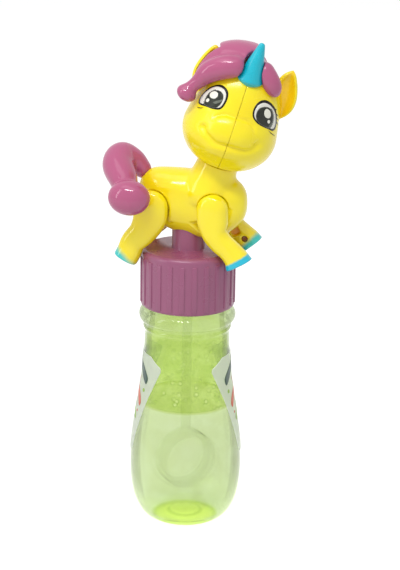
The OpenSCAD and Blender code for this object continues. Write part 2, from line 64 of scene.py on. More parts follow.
# The frames of the neck, the head and the figure, and a frame that leaves things where they are
NECK = Matrix.Translation(Vector((11.4, 0, 150)) * MM) @ Matrix.Rotation(math.radians(18), 4, "Y")
HEAD = NECK @ Matrix.Rotation(math.radians(-78), 4, "Z")
FIGURE = Matrix.Translation((0, 0, CAP_TOP * MM))
MIRROR = Matrix.Diagonal((1, -1, 1, 1))
STAY = Matrix.Identity(4)
# Squareness of the rings of each moulding, as a power: 2 makes them round
BODY_POWER, BODY_END_POWER, HEAD_POWER, LEG_POWER = 2.3, 2.7, 2.15, 2.5


# Modelling helpers

def pick(*objects):
    bpy.ops.object.select_all(action="DESELECT")
    for obj in objects:
        obj.select_set(True)
    bpy.context.view_layer.objects.active = objects[0]


def named(obj, name):
    obj.name = obj.data.name = name
    return obj


def linked(name, data):
    obj = bpy.data.objects.new(name, data)
    scene.collection.objects.link(obj)
    return obj


def made(primitive, name, **settings):
    bpy.ops.object.select_all(action="DESELECT")
    primitive(**settings)
    return named(bpy.context.object, name)


def worked(obj, kind, **settings):
    """Adds one modifier and applies it."""
    pick(obj)
    modifier = obj.modifiers.new(kind.title(), kind)
    for key, value in settings.items():
        setattr(modifier, key, value)
    bpy.ops.object.modifier_apply(modifier=modifier.name)
    return obj


def edit(obj, mode="VERT"):
    pick(obj)
    bpy.ops.object.mode_set(mode="EDIT")
    bpy.ops.mesh.select_mode(type=mode)


def edit_all(obj, mode="VERT"):
    edit(obj, mode)
    bpy.ops.mesh.select_all(action="SELECT")


def done():
    bpy.ops.object.mode_set(mode="OBJECT")


def face_out(obj):
    edit_all(obj)
    bpy.ops.mesh.normals_make_consistent(inside=False)
    done()


def settle(obj):
    """Leaves the object at the origin, with its place in its mesh."""
    pick(obj)
    bpy.ops.object.transform_apply(location=True, rotation=True, scale=True)
    return obj


def joined(*objects):
    pick(*objects)
    bpy.ops.object.join()
    return objects[0]


def smooth(obj, degrees=40):
    pick(obj)
    bpy.ops.object.shade_smooth_by_angle(angle=math.radians(degrees))
    return obj


def turned(name, outline, sides=96):
    """A turned solid: a circle drawn out along the outline, pairs of radius and height."""
    r, z = outline[0]
    circle = {"vertices": sides, "radius": r * MM, "location": (0, 0, z * MM)}
    obj = settle(made(bpy.ops.mesh.primitive_circle_add, name, **circle))
    edit_all(obj, "EDGE")
    for new_r, new_z in outline[1:]:
        bpy.ops.mesh.extrude_region_move(TRANSFORM_OT_translate={"value": (0, 0, (new_z - z) * MM)})
        bpy.ops.transform.resize(value=(new_r / r, new_r / r, 1), center_override=(0, 0, new_z * MM))
        r, z = new_r, new_z
    bpy.ops.mesh.select_all(action="SELECT")
    bpy.ops.mesh.remove_doubles(threshold=0.02 * MM)
    bpy.ops.mesh.normals_make_consistent(inside=False)
    done()
    return obj


def raise_faces(obj, chosen, lift):
    """Raises the faces whose middles, in millimetres, are chosen."""
    for face in obj.data.polygons:
        face.select = chosen(*(face.center / MM))
    for part in (*obj.data.edges, *obj.data.vertices):
        part.select = False
    edit(obj, "FACE")
    bpy.ops.mesh.extrude_region_shrink_fatten(TRANSFORM_OT_shrink_fatten={"value": lift * MM})
    done()


def faces_in(face):
    """Whether a face looks towards the bottle's axis."""
    return face.normal.x * face.center.x + face.normal.y * face.center.y < 0


def copied(name, node):
    """A new mesh from a copy of a frame node."""
    obj = named(linked(name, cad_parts[node].data.copy()), name)
    obj.data.materials.clear()
    edit_all(obj)
    bpy.ops.mesh.remove_doubles(threshold=0.001 * MM)
    done()
    return obj


def cut_off(obj, plane_co, plane_no):
    """Cuts off what lies behind a plane, and closes the cut."""
    edit_all(obj)
    bpy.ops.mesh.bisect(plane_co=plane_co, plane_no=plane_no, use_fill=True, clear_inner=True)
    done()
    return obj


def half_of(obj, name, plane_co, plane_no, slit):
    """A copy of one side of a moulding, parted on a plane with half of the slit left free."""
    half = named(linked(name, obj.data.copy()), name)
    return cut_off(half, Vector(plane_co) + Vector(plane_no) * slit * MM / 2, plane_no)


# Sculpting helpers

def points_of(obj):
    co = np.empty(len(obj.data.vertices) * 3)
    no = np.empty(len(obj.data.vertices) * 3)
    obj.data.vertices.foreach_get("co", co)
    obj.data.vertices.foreach_get("normal", no)
    return co.reshape(-1, 3), no.reshape(-1, 3)


def set_points(obj, co):
    obj.data.vertices.foreach_set("co", co.ravel())
    obj.data.update()


def in_frame(place, co):
    """Points in the millimetres of a frame."""
    inverse = np.array(place.inverted())
    return (co @ inverse[:3, :3].T + inverse[:3, 3]) / MM


def on_curve(knots, x):
    """Values on smooth curves through knots, rows of a station and the values there."""
    rows = np.array(knots, float)
    at, values, last = rows[:, 0], rows[:, 1:], len(rows) - 1
    low, high = np.r_[0, 0:last], np.r_[1:last + 1, last]
    slopes = (values[high] - values[low]) / (at[high] - at[low])[:, None]
    x = np.atleast_1d(np.asarray(x, float))
    i = np.clip(np.searchsorted(at, x, "right") - 1, 0, last - 1)
    gap = (at[i + 1] - at[i])[:, None]
    t = (x - at[i])[:, None] / gap
    rise = values[i + 1] - values[i]
    a, b = slopes[i] * gap, slopes[i + 1] * gap
    return values[i] + t * a + t**2 * (3 * rise - 2 * a - b) + t**3 * (a + b - 2 * rise)


def way_along(knots, s, axes):
    """Directions of a path at places along it."""
    step = 0.1
    return unit(on_curve(knots, s + step)[:, :axes] - on_curve(knots, s - step)[:, :axes])


def path_of(points):
    """The points with their distance along the line that joins them."""
    return np.c_[np.r_[0, np.cumsum(np.linalg.norm(np.diff(points, axis=0), axis=1))], points]


def line_through(points, steps=160):
    """Dense points on a smooth line through a few."""
    path = path_of(points)
    return on_curve(path, np.linspace(0, path[-1, 0], steps))


def loop_through(points, steps=72):
    """Dense points on a smooth closed line through a few."""
    count = len(points)
    path = path_of(np.array([*points] * 3, float))
    return on_curve(path, np.linspace(path[count, 0], path[2 * count, 0], steps, endpoint=False))


def far_from(line, flat):
    """Distance of flat points from a line, and how far along it the nearest place is."""
    gaps = np.linalg.norm(flat[:, None, :] - line[None, :, :], axis=2)
    return gaps.min(axis=1), gaps.argmin(axis=1) / (len(line) - 1)


def bulge(wave, power):
    """A cosine or sine that draws a circle into a squarer ring."""
    return np.sign(wave) * np.abs(wave) ** (2 / power)


def round_end(s, reach):
    """Share of full width at a distance from a round end."""
    return np.sqrt(np.clip(1 - (1 - np.clip(s / reach, 0, 1)) ** 2, 0, 1))


def unit(rows):
    return rows / np.linalg.norm(rows, axis=1)[:, None]


def shaped(name, shape, place=STAY, segments=96, rings=64):
    """A ball drawn into a shape, which gives a place for each height from -1 to 1 and each turn."""
    ball = {"segments": segments, "ring_count": rings, "radius": 1}
    obj = made(bpy.ops.mesh.primitive_uv_sphere_add, name, **ball)
    co = points_of(obj)[0]
    set_points(obj, shape(np.clip(co[:, 2], -1, 1), np.arctan2(co[:, 1], co[:, 0])) * MM)
    return placed(obj, place)


def strand(name, knots, side, place, tip=4.0):
    """A round strand along a path. A knot is a station, the centre's place and the half width."""
    end = knots[-1][0]

    def shape(h, turn):
        s = end * (1 + h) / 2
        row = on_curve(knots, s)
        way = way_along(knots, s, 3)
        across = unit(np.cross(way, np.array(side, float)))
        over = np.cross(way, across)
        r = (row[:, 3] * round_end(end - s, tip) * round_end(s, tip))[:, None]
        return row[:, :3] + r * (np.cos(turn)[:, None] * across + np.sin(turn)[:, None] * over)

    return shaped(name, shape, place, 48, 96)


def egg(name, centre, radii, place=STAY):
    """A stretched ball, as a lump to melt into a moulding."""
    def shape(h, turn):
        ring = np.sqrt(1 - h**2)
        return np.array(centre) + np.array(radii) * np.c_[ring * np.cos(turn), ring * np.sin(turn), h]

    return shaped(name, shape, place, 64, 32)


def melted(obj, pitch=0.35, rounds=24):
    """One smooth skin over everything in an object."""
    worked(obj, "REMESH", mode="VOXEL", voxel_size=pitch * MM, use_smooth_shade=True)
    return smoothed(obj, rounds)


def smoothed(obj, rounds):
    return worked(obj, "SMOOTH", factor=0.5, iterations=rounds)


def bevelled(obj, width, degrees):
    limit = {"limit_method": "ANGLE", "angle_limit": math.radians(degrees)}
    return worked(obj, "BEVEL", width=width * MM, segments=2, **limit)


def combined(obj, operation, *tools):
    """Adds other solids to an object or takes them out of it."""
    for tool in tools:
        worked(obj, "BOOLEAN", operation=operation, object=tool, solver="EXACT")
        bpy.data.objects.remove(tool)
    return obj


def block(name, low, high, place=STAY):
    """A plain block between two corners."""
    obj = made(bpy.ops.mesh.primitive_cube_add, name, size=1)
    low, high = Vector(low) * MM, Vector(high) * MM
    return placed(obj, place @ Matrix.Translation((low + high) / 2) @ Matrix.Diagonal((*(high - low), 1)))


def placed(obj, place):
    obj.matrix_world = place
    return settle(obj)


def pillar(name, r, low, high, place=STAY, sides=64):
    """A turned pillar along Z of a frame."""
    return placed(turned(name, [(TIP, low), (r, low), (r, high), (TIP, high)], sides), place)


# Material helpers

BLACK, WHITE = (0, 0, 0, 1), (1, 1, 1, 1)


def srgb(*levels):
    """Linear colour from sRGB levels of 0 to 255."""
    shares = [v / 255 for v in levels]
    return [s / 12.92 if s <= 0.04045 else ((s + 0.055) / 1.055) ** 2.4 for s in shares] + [1.0]


def grey(level):
    return (level, level, level, 1)


class Nodes:
    """The nodes of a material or of the world, and short ways to add more."""

    def __init__(self, tree):
        self.tree = tree

    def add(self, kind, inputs=(), **settings):
        node = self.tree.nodes.new(f"ShaderNode{kind}")
        for key, value in settings.items():
            setattr(node, key, value)
        for socket, value in dict(inputs).items():
            if isinstance(value, bpy.types.NodeSocket):
                self.tree.links.new(value, node.inputs[socket])
            else:
                node.inputs[socket].default_value = value
        return node.outputs

    def maths(self, operation, a, b, **settings):
        return self.add("Math", {0: a, 1: b}, operation=operation, **settings)[0]

    def vectors(self, operation, output, *inputs):
        return self.add("VectorMath", enumerate(inputs), operation=operation)[output]

    def ranged(self, value, low, high, first=0.0, last=1.0, **settings):
        """A value carried from one range over to another."""
        inputs = {"Value": value, "From Min": low, "From Max": high, "To Min": first, "To Max": last}
        return self.add("MapRange", inputs, **settings)["Result"]

    def ramp(self, value, *stops):
        """Colour ramp with stops of place and colour."""
        colour = self.add("ValToRGB", {"Fac": value})["Color"]
        ends = colour.node.color_ramp.elements
        while len(ends) < len(stops):
            ends.new(0.5)
        for end, (place, shade) in zip(ends, stops):
            end.position, end.color = place, shade
        return colour

    def mixed(self, share, a, b, **settings):
        """Two colours mixed, with a share of the second."""
        return self.add("Mix", {"Factor": share, "A": a, "B": b}, data_type="RGBA", **settings)["Result"]

    def blended(self, share, first, second):
        """Two shaders mixed, with a share of the second."""
        return self.add("MixShader", {0: share, 1: first, 2: second})[0]

    def shade(self, kind, **inputs):
        return self.add(kind, inputs)[0]

    def seen_rays(self):
        """One for rays that the camera sends, straight, mirrored or through the bottle."""
        path = self.add("LightPath")
        mirrored = self.maths("MAXIMUM", path["Is Glossy Ray"], path["Is Transmission Ray"])
        return self.maths("MAXIMUM", path["Is Camera Ray"], mirrored)


class Look(Nodes):
    """A new material, on the places of an object's points. Only a solid one keeps the usual shader."""

    def __init__(self, name, solid=True):
        self.mat = bpy.data.materials.new(name)
        self.mat.use_nodes = True
        super().__init__(self.mat.node_tree)
        self.point = self.add("TexCoord")["Object"]
        self.shader = self.tree.nodes["Principled BSDF"]
        if not solid:
            self.tree.nodes.remove(self.shader)

    def surface(self, shader):
        self.tree.links.new(shader, self.tree.nodes["Material Output"].inputs["Surface"])
        return self.mat

    def noise(self, scale, detail=3.0, distortion=0.0):
        inputs = {"Vector": self.point, "Scale": scale, "Detail": detail, "Distortion": distortion}
        return self.add("TexNoise", inputs)["Fac"]

    def bump(self, height, strength, distance):
        return self.add("Bump", {"Height": height, "Strength": strength, "Distance": distance})["Normal"]

    def height(self):
        return self.add("SeparateXYZ", {"Vector": self.point})["Z"]

    def up_the_bottle(self):
        """Height on the bottle, as a share of a hundred millimetres."""
        return self.ranged(self.height(), 0.0, 0.1)

    def backs(self):
        return self.add("NewGeometry")["Backfacing"]

    def drifting(self, colour, deep, patch=55.0):
        """A colour that drifts a little between two tones."""
        return self.ramp(self.noise(patch), (0.35, colour), (0.75, deep))

    def moulded(self, tone, roughness, grain=0.02, gloss=0.5):
        """Moulded plastic of a tone, with uneven polish and faint flow waves."""
        polish = self.ranged(self.noise(130.0, 4.0), 0.3, 0.75, roughness - 0.05, roughness + 0.08)
        waves = self.bump(self.noise(900.0), grain, 0.0002)
        for socket, value in (("Base Color", tone), ("Roughness", polish), ("Normal", waves)):
            self.tree.links.new(value, self.shader.inputs[socket])
        self.shader.inputs["Specular IOR Level"].default_value = gloss
        return self.mat

    def clear_shine(self, ior, roughness, **normal):
        """Share of light that a clear skin mirrors, on its outer side only, and the mirror."""
        edge = self.add("Fresnel", {"IOR": ior})["Fac"]
        share = self.maths("MULTIPLY", edge, self.maths("SUBTRACT", 1.0, self.backs()))
        return share, self.shade("BsdfGlossy", Color=WHITE, Roughness=roughness, **normal)

    def clear_wall(self, tint, dim):
        """Clear wall with an uneven tint and faint ripples, which bends light a little and shines outside."""
        uneven = self.ramp(self.noise(90.0, 3.0, 0.8), (0.35, (dim, dim, dim - 0.03, 1)), (0.62, WHITE))
        colour = self.mixed(1.0, tint, uneven, blend_type="MULTIPLY")
        normal = self.bump(self.noise(120.0, 2.0), 0.05, 0.001)
        bent = self.shade("BsdfRefraction", Color=colour, IOR=1.14, Roughness=0.02, Normal=normal)
        straight = self.shade("BsdfRefraction", Color=colour, IOR=1.0, Roughness=0.0)
        bend = self.ramp(self.up_the_bottle(), (0.1, BLACK), (0.2, grey(0.3)))
        edge, shine = self.clear_shine(1.42, 0.04, Normal=normal)
        skin = self.blended(edge, self.blended(bend, straight, bent), shine)
        lamp = self.add("LightPath")["Is Shadow Ray"]
        return self.surface(self.blended(lamp, skin, self.shade("BsdfTransparent", Color=uneven)))


# Materials

# The ears' amber is painted shade in their hollows
YELLOW, DEEP_YELLOW, EAR_SHADE_AMBER = srgb(252, 234, 26), srgb(248, 223, 18), srgb(252, 212, 20)
PINK, DEEP_PINK = srgb(181, 88, 128), srgb(174, 82, 122)
MAUVE, DEEP_MAUVE = srgb(153, 85, 118), srgb(147, 80, 113)
CYAN, DEEP_CYAN = srgb(0, 186, 206), srgb(0, 176, 197)
HOOF_CYAN, HOOF_TEAL = srgb(8, 188, 216), srgb(58, 200, 196)
# Painted shade in the recess and the hole of each leg
RECESS_SHADE_AMBER, HOLE_SHADE_BROWN = srgb(240, 168, 16), srgb(150, 86, 14)
INK_GLOSS, PLASTIC_GLOSS, LEG_GLOSS = 0.2, 0.55, 0.65
LABEL_CLEAR, LABEL_CLEAR_BACK = 0.12, 0.85


def plastic(name, colour, deep, roughness, patch=55.0, grain=0.02, gloss=PLASTIC_GLOSS):
    """Moulded plastic whose colour drifts a little between two tones."""
    look = Look(name)
    return look.moulded(look.drifting(colour, deep, patch), roughness, grain, gloss)


hair_plastic = plastic("hair_plastic", PINK, DEEP_PINK, 0.11)
cap_plastic = plastic("cap_plastic", MAUVE, DEEP_MAUVE, 0.3, grain=0.05)
horn_plastic = plastic("horn_plastic", CYAN, DEEP_CYAN, 0.24, 160.0, 0.06)
body_plastic = plastic("body_plastic", YELLOW, DEEP_YELLOW, 0.12)
wand_plastic = plastic("wand_plastic", srgb(226, 230, 214), srgb(214, 220, 200), 0.3)
liner_foam = plastic("liner_foam", srgb(238, 238, 232), srgb(226, 226, 220), 0.7, 900.0, 0.3)
print_green = plastic("print_green", srgb(52, 84, 72), srgb(46, 74, 64), 0.35)
print_orange = plastic("print_orange", srgb(214, 92, 62), srgb(204, 84, 58), 0.35)
print_lime = plastic("print_lime", srgb(150, 190, 70), srgb(140, 180, 64), 0.35)
eye_dark = plastic("eye_dark", srgb(30, 31, 28), srgb(22, 23, 21), 0.3, gloss=INK_GLOSS)
eye_white = plastic("eye_white", srgb(236, 237, 226), srgb(222, 223, 214), 0.3)
eye_grey = plastic("eye_grey", srgb(126, 129, 122), srgb(96, 100, 94), 0.3, 900.0, gloss=INK_GLOSS)
eye_iris = plastic("eye_iris", srgb(54, 58, 50), srgb(40, 44, 38), 0.3, 600.0, gloss=INK_GLOSS)
# Painted reflection: the grey sheen on the lower side of each iris
eye_painted_sheen = plastic("eye_painted_sheen", srgb(120, 126, 116), srgb(96, 102, 92), 0.3, 900.0, gloss=INK_GLOSS)
eye_light = plastic("eye_light", srgb(240, 241, 226), srgb(234, 235, 220), 0.3)


def head_plastic():
    """Yellow with soft amber painted shade inside each ear."""
    look = Look("head_plastic")
    # Painted shade: the hollow of each ear deepens to amber
    hoof_paint_and_ear_shade = look.add("Attribute", attribute_name="ear_shade")["Fac"]
    return look.moulded(look.mixed(hoof_paint_and_ear_shade, look.drifting(YELLOW, DEEP_YELLOW), EAR_SHADE_AMBER), 0.24)


def leg_plastic(name, edge, up, soft, hoof, hollow_shades):
    """Yellow leg with painted shade in its hollows, whose hoof is sprayed from the toe up to an edge of some
    softness.
    """
    look = Look(name)
    tone = look.drifting(YELLOW, DEEP_YELLOW)
    # Painted shade: each hollow darkens to amber or brown towards its middle
    for spot, reach, shade_colour in hollow_shades:
        gap = look.vectors("DISTANCE", "Value", look.point, spot)
        tone = look.mixed(look.ranged(gap, 0.75 * reach * MM, reach * MM, 1.0, 0.0), tone, shade_colour)
    off = look.vectors("SUBTRACT", "Vector", look.point, Vector(edge) * MM)
    height = look.vectors("DOT_PRODUCT", "Value", off, Vector(up).normalized())
    stray = look.ranged(look.noise(420.0, 4.0), 0.0, 1.0, -0.5 * MM, 0.5 * MM)
    height = look.maths("ADD", height, stray)
    hoof_paint_and_ear_shade = look.ranged(height, -soft * MM, soft * MM, 1.0, 0.0, interpolation_type="SMOOTHSTEP")
    return look.moulded(look.mixed(hoof_paint_and_ear_shade, tone, hoof), 0.14, gloss=LEG_GLOSS)


def bottle_plastic():
    """Blown plastic with a pale green tint that is stronger in the thick base, and ringed there; from the bead
    up it is darker, as painted shade under the cap.
    """
    look = Look("bottle_plastic", solid=False)
    # Painted shade: the tint darkens between 82 and 87 millimetres up, under the cap
    wall = look.ramp(look.up_the_bottle(), (0.82, (0.765, 0.835, 0.635, 1)), (0.87, (0.69, 0.765, 0.55, 1)))
    base_in, base_out = 12.4 * MM, 13.8 * MM
    reach = look.vectors("LENGTH", "Value", look.vectors("MULTIPLY", "Vector", look.point, (1, 1, 0)))
    base = look.ramp(
        look.ranged(reach, 0.0, base_out),
        (0.0, (0.76, 0.87, 0.28, 1)), (0.4, (0.8, 0.9, 0.3, 1)), (0.47, (0.62, 0.76, 0.17, 1)),
        (0.56, (0.8, 0.9, 0.27, 1)), (0.78, (0.74, 0.85, 0.22, 1)), (0.9, (0.6, 0.74, 0.15, 1)),
    )
    return look.clear_wall(look.mixed(look.ranged(reach, base_in, base_out, 1.0, 0.0), wall, base), 0.97)


def bottle_inside():
    """The inner skin of the same wall, with a cloudy green tint from the liquid's level to the neck, and froth
    with painted highlights.
    """
    look = Look("bottle_inside", solid=False)
    up = look.up_the_bottle()
    cloud = look.noise(110.0, 4.0, 1.2)
    # A cloudy, greener tint from the liquid's level up
    upper_tint = look.ramp(cloud, (0.36, (0.79, 0.875, 0.45, 1)), (0.62, (0.9, 0.95, 0.64, 1)))
    patches = look.ramp(look.noise(150.0, 2.0), (0.45, BLACK), (0.55, WHITE))
    rise = look.ramp(up, (0.52, WHITE), (0.62, grey(0.7)), (0.78, grey(0.3)))
    crowd = look.maths("MULTIPLY", patches, rise)
    # Froth with painted light: pale spots are painted highlights for the glints on its bubbles, and the darker
    # rims round them are painted shade
    cells = look.add("TexVoronoi", {"Vector": look.point, "Scale": 330.0})["Distance"]
    bubbles = look.ramp(cells, (0.2, WHITE), (0.26, BLACK))
    rims = look.ramp(cells, (0.22, BLACK), (0.28, WHITE), (0.32, WHITE), (0.4, BLACK))
    for mask, colour in ((bubbles, (1, 1, 0.95, 1)), (rims, (0.62, 0.74, 0.26, 1))):
        upper_tint = look.mixed(look.maths("MULTIPLY", mask, crowd), upper_tint, colour)
    place = look.ramp(up, (0.51, BLACK), (0.52, WHITE), (0.81, WHITE), (0.85, BLACK))
    return look.clear_wall(look.mixed(place, WHITE, upper_tint), 0.985)


def soap_solution():
    """Pale green liquid, as clear as the wall that it wets, with a greener skin of soap on top."""
    look = Look("soap_solution", solid=False)
    top = look.ranged(look.height(), (FILL_Z - 1.3) * MM, (FILL_Z - 0.9) * MM)
    pale = look.ramp(look.noise(70.0), (0.3, (0.96, 0.975, 0.93, 1)), (0.7, (0.98, 0.985, 0.955, 1)))
    through = look.shade("BsdfTransparent", Color=look.mixed(top, pale, (0.87, 0.91, 0.6, 1)))
    edge, shine = look.clear_shine(1.2, 0.03)
    return look.surface(look.blended(edge, through, shine))


def label_film(name, clear):
    """White film that lets some light through, and shows a share of what is behind it."""
    look = Look(name)
    tone = look.drifting(srgb(246, 248, 246), srgb(241, 244, 242), 60.0)
    look.moulded(tone, 0.3)
    paper = look.blended(0.45, look.shader.outputs[0], look.shade("BsdfTranslucent", Color=tone))
    share = look.ranged(look.backs(), 0.0, 1.0, clear, LABEL_CLEAR_BACK)
    return look.surface(look.blended(share, paper, look.shade("BsdfTransparent", Color=tone)))


label_white, label_back = label_film("label_film", LABEL_CLEAR), label_film("label_back", LABEL_CLEAR_BACK)


def milky_plastic():
    """Nearly clear plastic of the wand: what is behind it shows through, with a milky veil."""
    look = Look("milky_plastic")
    look.moulded(look.ramp(look.noise(200.0), (0.3, srgb(206, 216, 170)), (0.7, srgb(190, 204, 150))), 0.3)
    through = look.shade("BsdfTransparent", Color=(0.985, 0.985, 0.98, 1))
    return look.surface(look.blended(0.1, through, look.shader.outputs[0]))


def bubble_film():
    """Clear film of the bubbles that cling to the inside of the wall."""
    look = Look("bubble_film", solid=False)
    swirl = look.ramp(look.noise(700.0, 2.0), (0.3, (0.96, 0.98, 0.9, 1)), (0.7, WHITE))
    edge, shine = look.clear_shine(2.4, 0.05)
    share = look.maths("ADD", edge, 0.2, use_clamp=True)
    return look.surface(look.blended(share, look.shade("BsdfTransparent", Color=swirl), shine))


# Pieces and prints

def dress(obj, mat, body, slot, *nodes):
    """Gives a piece its material, its body and the nodes it stands for; the slot is not used."""
    if not obj.data.materials:
        obj.data.materials.append(mat)
    if nodes:
        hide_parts(*nodes)
    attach(obj, body)
    return obj


def printed(name, outline, lay, lift, mat):
    """A thin printed patch: a flat outline, filled and laid onto a surface."""
    circle = {"vertices": len(outline), "radius": 1, "fill_type": "TRIFAN"}
    patch = made(bpy.ops.mesh.primitive_circle_add, name, **circle)
    co = points_of(patch)[0]
    ring = np.linalg.norm(co, axis=1) > 0.5
    co[ring, :2] = outline
    co[~ring, :2] = np.mean(outline, axis=0)
    set_points(patch, co)
    edit_all(patch)
    bpy.ops.mesh.subdivide(number_cuts=7)
    done()
    places = [lay(*flat[:2]) for flat in points_of(patch)[0]]
    set_points(patch, np.array([place + normal * lift * MM for place, normal in places]))
    patch.data.materials.append(mat)
    return smooth(patch, 60)


def print_sheet(name, patches, slot, body):
    """Joins the patches of one print, which all face outwards, and gives them their thickness."""
    sheet = named(joined(*patches), name)
    worked(sheet, "SOLIDIFY", thickness=0.02 * MM, offset=-1)
    return dress(sheet, None, body, slot)


# Camera, light and floor

LENS, SENSOR = 126.3, 36
CAMERA_SIDE, CAMERA_DOWN, CAMERA_ROLL = 14, 17.5, 0.93
CAMERA_AIM, CAMERA_AWAY = (4.754, 1.185, 99.3), 0.8
# Name, place, aim, width, depth and watts of each light
LIGHTS = [
    ("overhead", (-0.1, -0.25, 0.95), (0, 0, 0.1), 0.9, 0.35, 1.1),
    ("strip", (-0.05, -0.48, 0.83), (0, 0, 0.12), 0.5, 0.07, 3.0),
    ("window", (-0.75, -0.55, 0.5), (0, 0, 0.12), 0.14, 0.8, 1.4),
]
ROOM_LIGHT, SEEN_ROOM = 0.62, 1.0
PAPER_TONE, PAPER_GLOW, FLOOR_DROP = 0.78, 0.47, 0.00005


def place_camera():
    data = bpy.data.cameras.new("photo_camera")
    data.lens, data.sensor_width = LENS, SENSOR
    camera = linked("photo_camera", data)
    side, down, roll = (math.radians(a) for a in (CAMERA_SIDE, CAMERA_DOWN, CAMERA_ROLL))
    back = Vector((math.sin(side) * math.cos(down), -math.cos(side) * math.cos(down), math.sin(down)))
    across = Vector((math.cos(side), math.sin(side), 0))
    over = back.cross(across)
    right = across * math.cos(roll) + over * math.sin(roll)
    up = over * math.cos(roll) - across * math.sin(roll)
    spot = Vector(CAMERA_AIM) * MM + back * CAMERA_AWAY
    camera.matrix_world = Matrix.Translation(spot) @ Matrix((right, up, back)).transposed().to_4x4()
    scene.camera = camera


def light_studio():
    for name, place, aim, width, depth, watts in LIGHTS:
        data = bpy.data.lights.new(name, "AREA")
        data.shape = "RECTANGLE"
        data.size, data.size_y, data.energy = width, depth, watts
        lamp = linked(name, data)
        lamp.location = place
        lamp.rotation_euler = (Vector(aim) - Vector(place)).to_track_quat("-Z", "Y").to_euler()
    world = bpy.data.worlds.new("white_room")
    scene.world = world
    world.use_nodes = True
    nodes = Nodes(world.node_tree)
    ground = nodes.tree.nodes["Background"]
    ground.inputs["Color"].default_value = WHITE
    strength = nodes.ranged(nodes.seen_rays(), 0.0, 1.0, ROOM_LIGHT, SEEN_ROOM)
    nodes.tree.links.new(strength, ground.inputs["Strength"])


def lay_floor():
    floor = made(bpy.ops.mesh.primitive_plane_add, "floor", size=8, location=(0, 0, -FLOOR_DROP))
    look = Look("floor_paper")
    for socket, value in (("Base Color", grey(PAPER_TONE)), ("Roughness", 0.9), ("Specular IOR Level", 0.1)):
        look.shader.inputs[socket].default_value = value
    glow = look.shade("Emission", Color=WHITE, Strength=look.maths("MULTIPLY", look.seen_rays(), PAPER_GLOW))
    floor.data.materials.append(look.surface(look.add("AddShader", {0: look.shader.outputs[0], 1: glow})[0]))


# Bottle: stations up its side with the radius there

BOTTLE_KNOTS = [
    (0, STANDING_R),
    (0.027 * SHOULDER_Z, 0.73 * BOTTLE_R),
    (0.075 * SHOULDER_Z, 0.86 * BOTTLE_R),
    (0.15 * SHOULDER_Z, 0.956 * BOTTLE_R),
    (0.28 * SHOULDER_Z, BOTTLE_R),
    (0.425 * SHOULDER_Z, 0.975 * BOTTLE_R),
    (0.6 * SHOULDER_Z, 0.45 * WAIST_R + 0.55 * BOTTLE_R),
    (0.78 * SHOULDER_Z, 0.83 * WAIST_R + 0.17 * BOTTLE_R),
    (SHOULDER_Z, WAIST_R),
]
SIDE_HEIGHTS = [SHOULDER_Z * (i / 40) ** 1.4 for i in range(41)]
# How far the side stays inside the frame's, the rise of the base and its thickness
INSET, PUSH_UP, BASE_T = 0.03, 3.2, 2.4
# Radius past the waist and height past the bead's middle, along the mould seam below the bead
SEAM = ((0, -5.9), (0.55, -5.45), (0.7, -4.9), (0.55, -4.4), (0.2, -4.0))


def side_r(z):
    """Radius of the bottle's outside between the standing ring and the shoulder."""
    return float(on_curve(BOTTLE_KNOTS, z)[0, 0]) - INSET


def base_line(lift=0.0):
    """Outline of the pushed-up base, from the axis to the standing ring."""
    reach = STANDING_R - 2
    return [(max(r, TIP), PUSH_UP * (1 - (r / reach) ** 2) + lift) for r in np.linspace(0, reach, 8)]


def make_bottle():
    side = [(side_r(z), z) for z in SIDE_HEIGHTS]
    seam = [(WAIST_R + r, BEAD_Z + z) for r, z in SEAM]
    turns = [math.radians(a) for a in range(-70, 81, 10)]
    bead = [(WAIST_R - 0.6 + 3 * math.cos(a), BEAD_Z + 3.2 * math.sin(a)) for a in turns]
    neck = [
        (NECK_R, BEAD_Z + 3.6), (NECK_R, MOUTH_Z - 0.3), (NECK_R - 0.3, MOUTH_Z), (NECK_BORE + 0.3, MOUTH_Z),
        (NECK_BORE, MOUTH_Z - 0.3), (NECK_BORE, BEAD_Z - 3),
    ]
    inside = [(side_r(z) - WALL, z) for z in reversed(SIDE_HEIGHTS) if z > 3]
    outline = base_line() + side + seam + bead + neck + inside + base_line(BASE_T)[::-1]
    bottle = smooth(turned("blown_bottle", outline, 128), 50)
    bottle.data.materials.append(bottle_plastic())
    bottle.data.materials.append(bottle_inside())
    for face in bottle.data.polygons:
        inner_side = faces_in(face) and face.center.z > 3.3 * MM
        inner_floor = face.center.z < 9 * MM and face.normal.z > 0.5
        face.material_index = int(inner_side or inner_floor)
    dress(bottle, None, "bottle", "tinted_bottle", "bottle")


def make_thread():
    """Raised thread round the neck, one and a half turns."""
    profile = {"vertices": 6, "radius": 0.62 * MM, "rotation": (math.pi / 2, 0, 0)}
    start = (NECK_R * MM, 0, 99 * MM)
    thread = settle(made(bpy.ops.mesh.primitive_circle_add, "neck_thread", location=start, **profile))
    steps = {"steps": 120, "render_steps": 120, "use_merge_vertices": False}
    worked(thread, "SCREW", angle=math.radians(540), screw_offset=7.5 * MM, **steps)
    edit(thread, "EDGE")
    bpy.ops.mesh.select_all(action="DESELECT")
    bpy.ops.mesh.select_non_manifold()
    bpy.ops.mesh.edge_face_add()
    bpy.ops.mesh.select_all(action="SELECT")
    bpy.ops.mesh.normals_make_consistent(inside=False)
    done()
    dress(smooth(thread), bpy.data.materials["bottle_plastic"], "bottle", "tinted_bottle")


def make_solution():
    gap = 0.02
    side = [(side_r(z) - WALL - gap, z) for z in SIDE_HEIGHTS if 3.2 < z < FILL_Z - 0.4]
    rim = side_r(FILL_Z) - WALL - gap
    hollow = ((0, 0), (0.4, 0.32), (1.1, 0.62), (2.2, 0.8))
    top = [(rim - r, FILL_Z - z) for r, z in hollow] + [(TIP, FILL_Z - 0.85)]
    solution = smooth(turned("soap_solution", base_line(BASE_T + gap) + side + top, 128), 60)
    dress(solution, soap_solution(), "bottle", "solution", "bubble_solution")


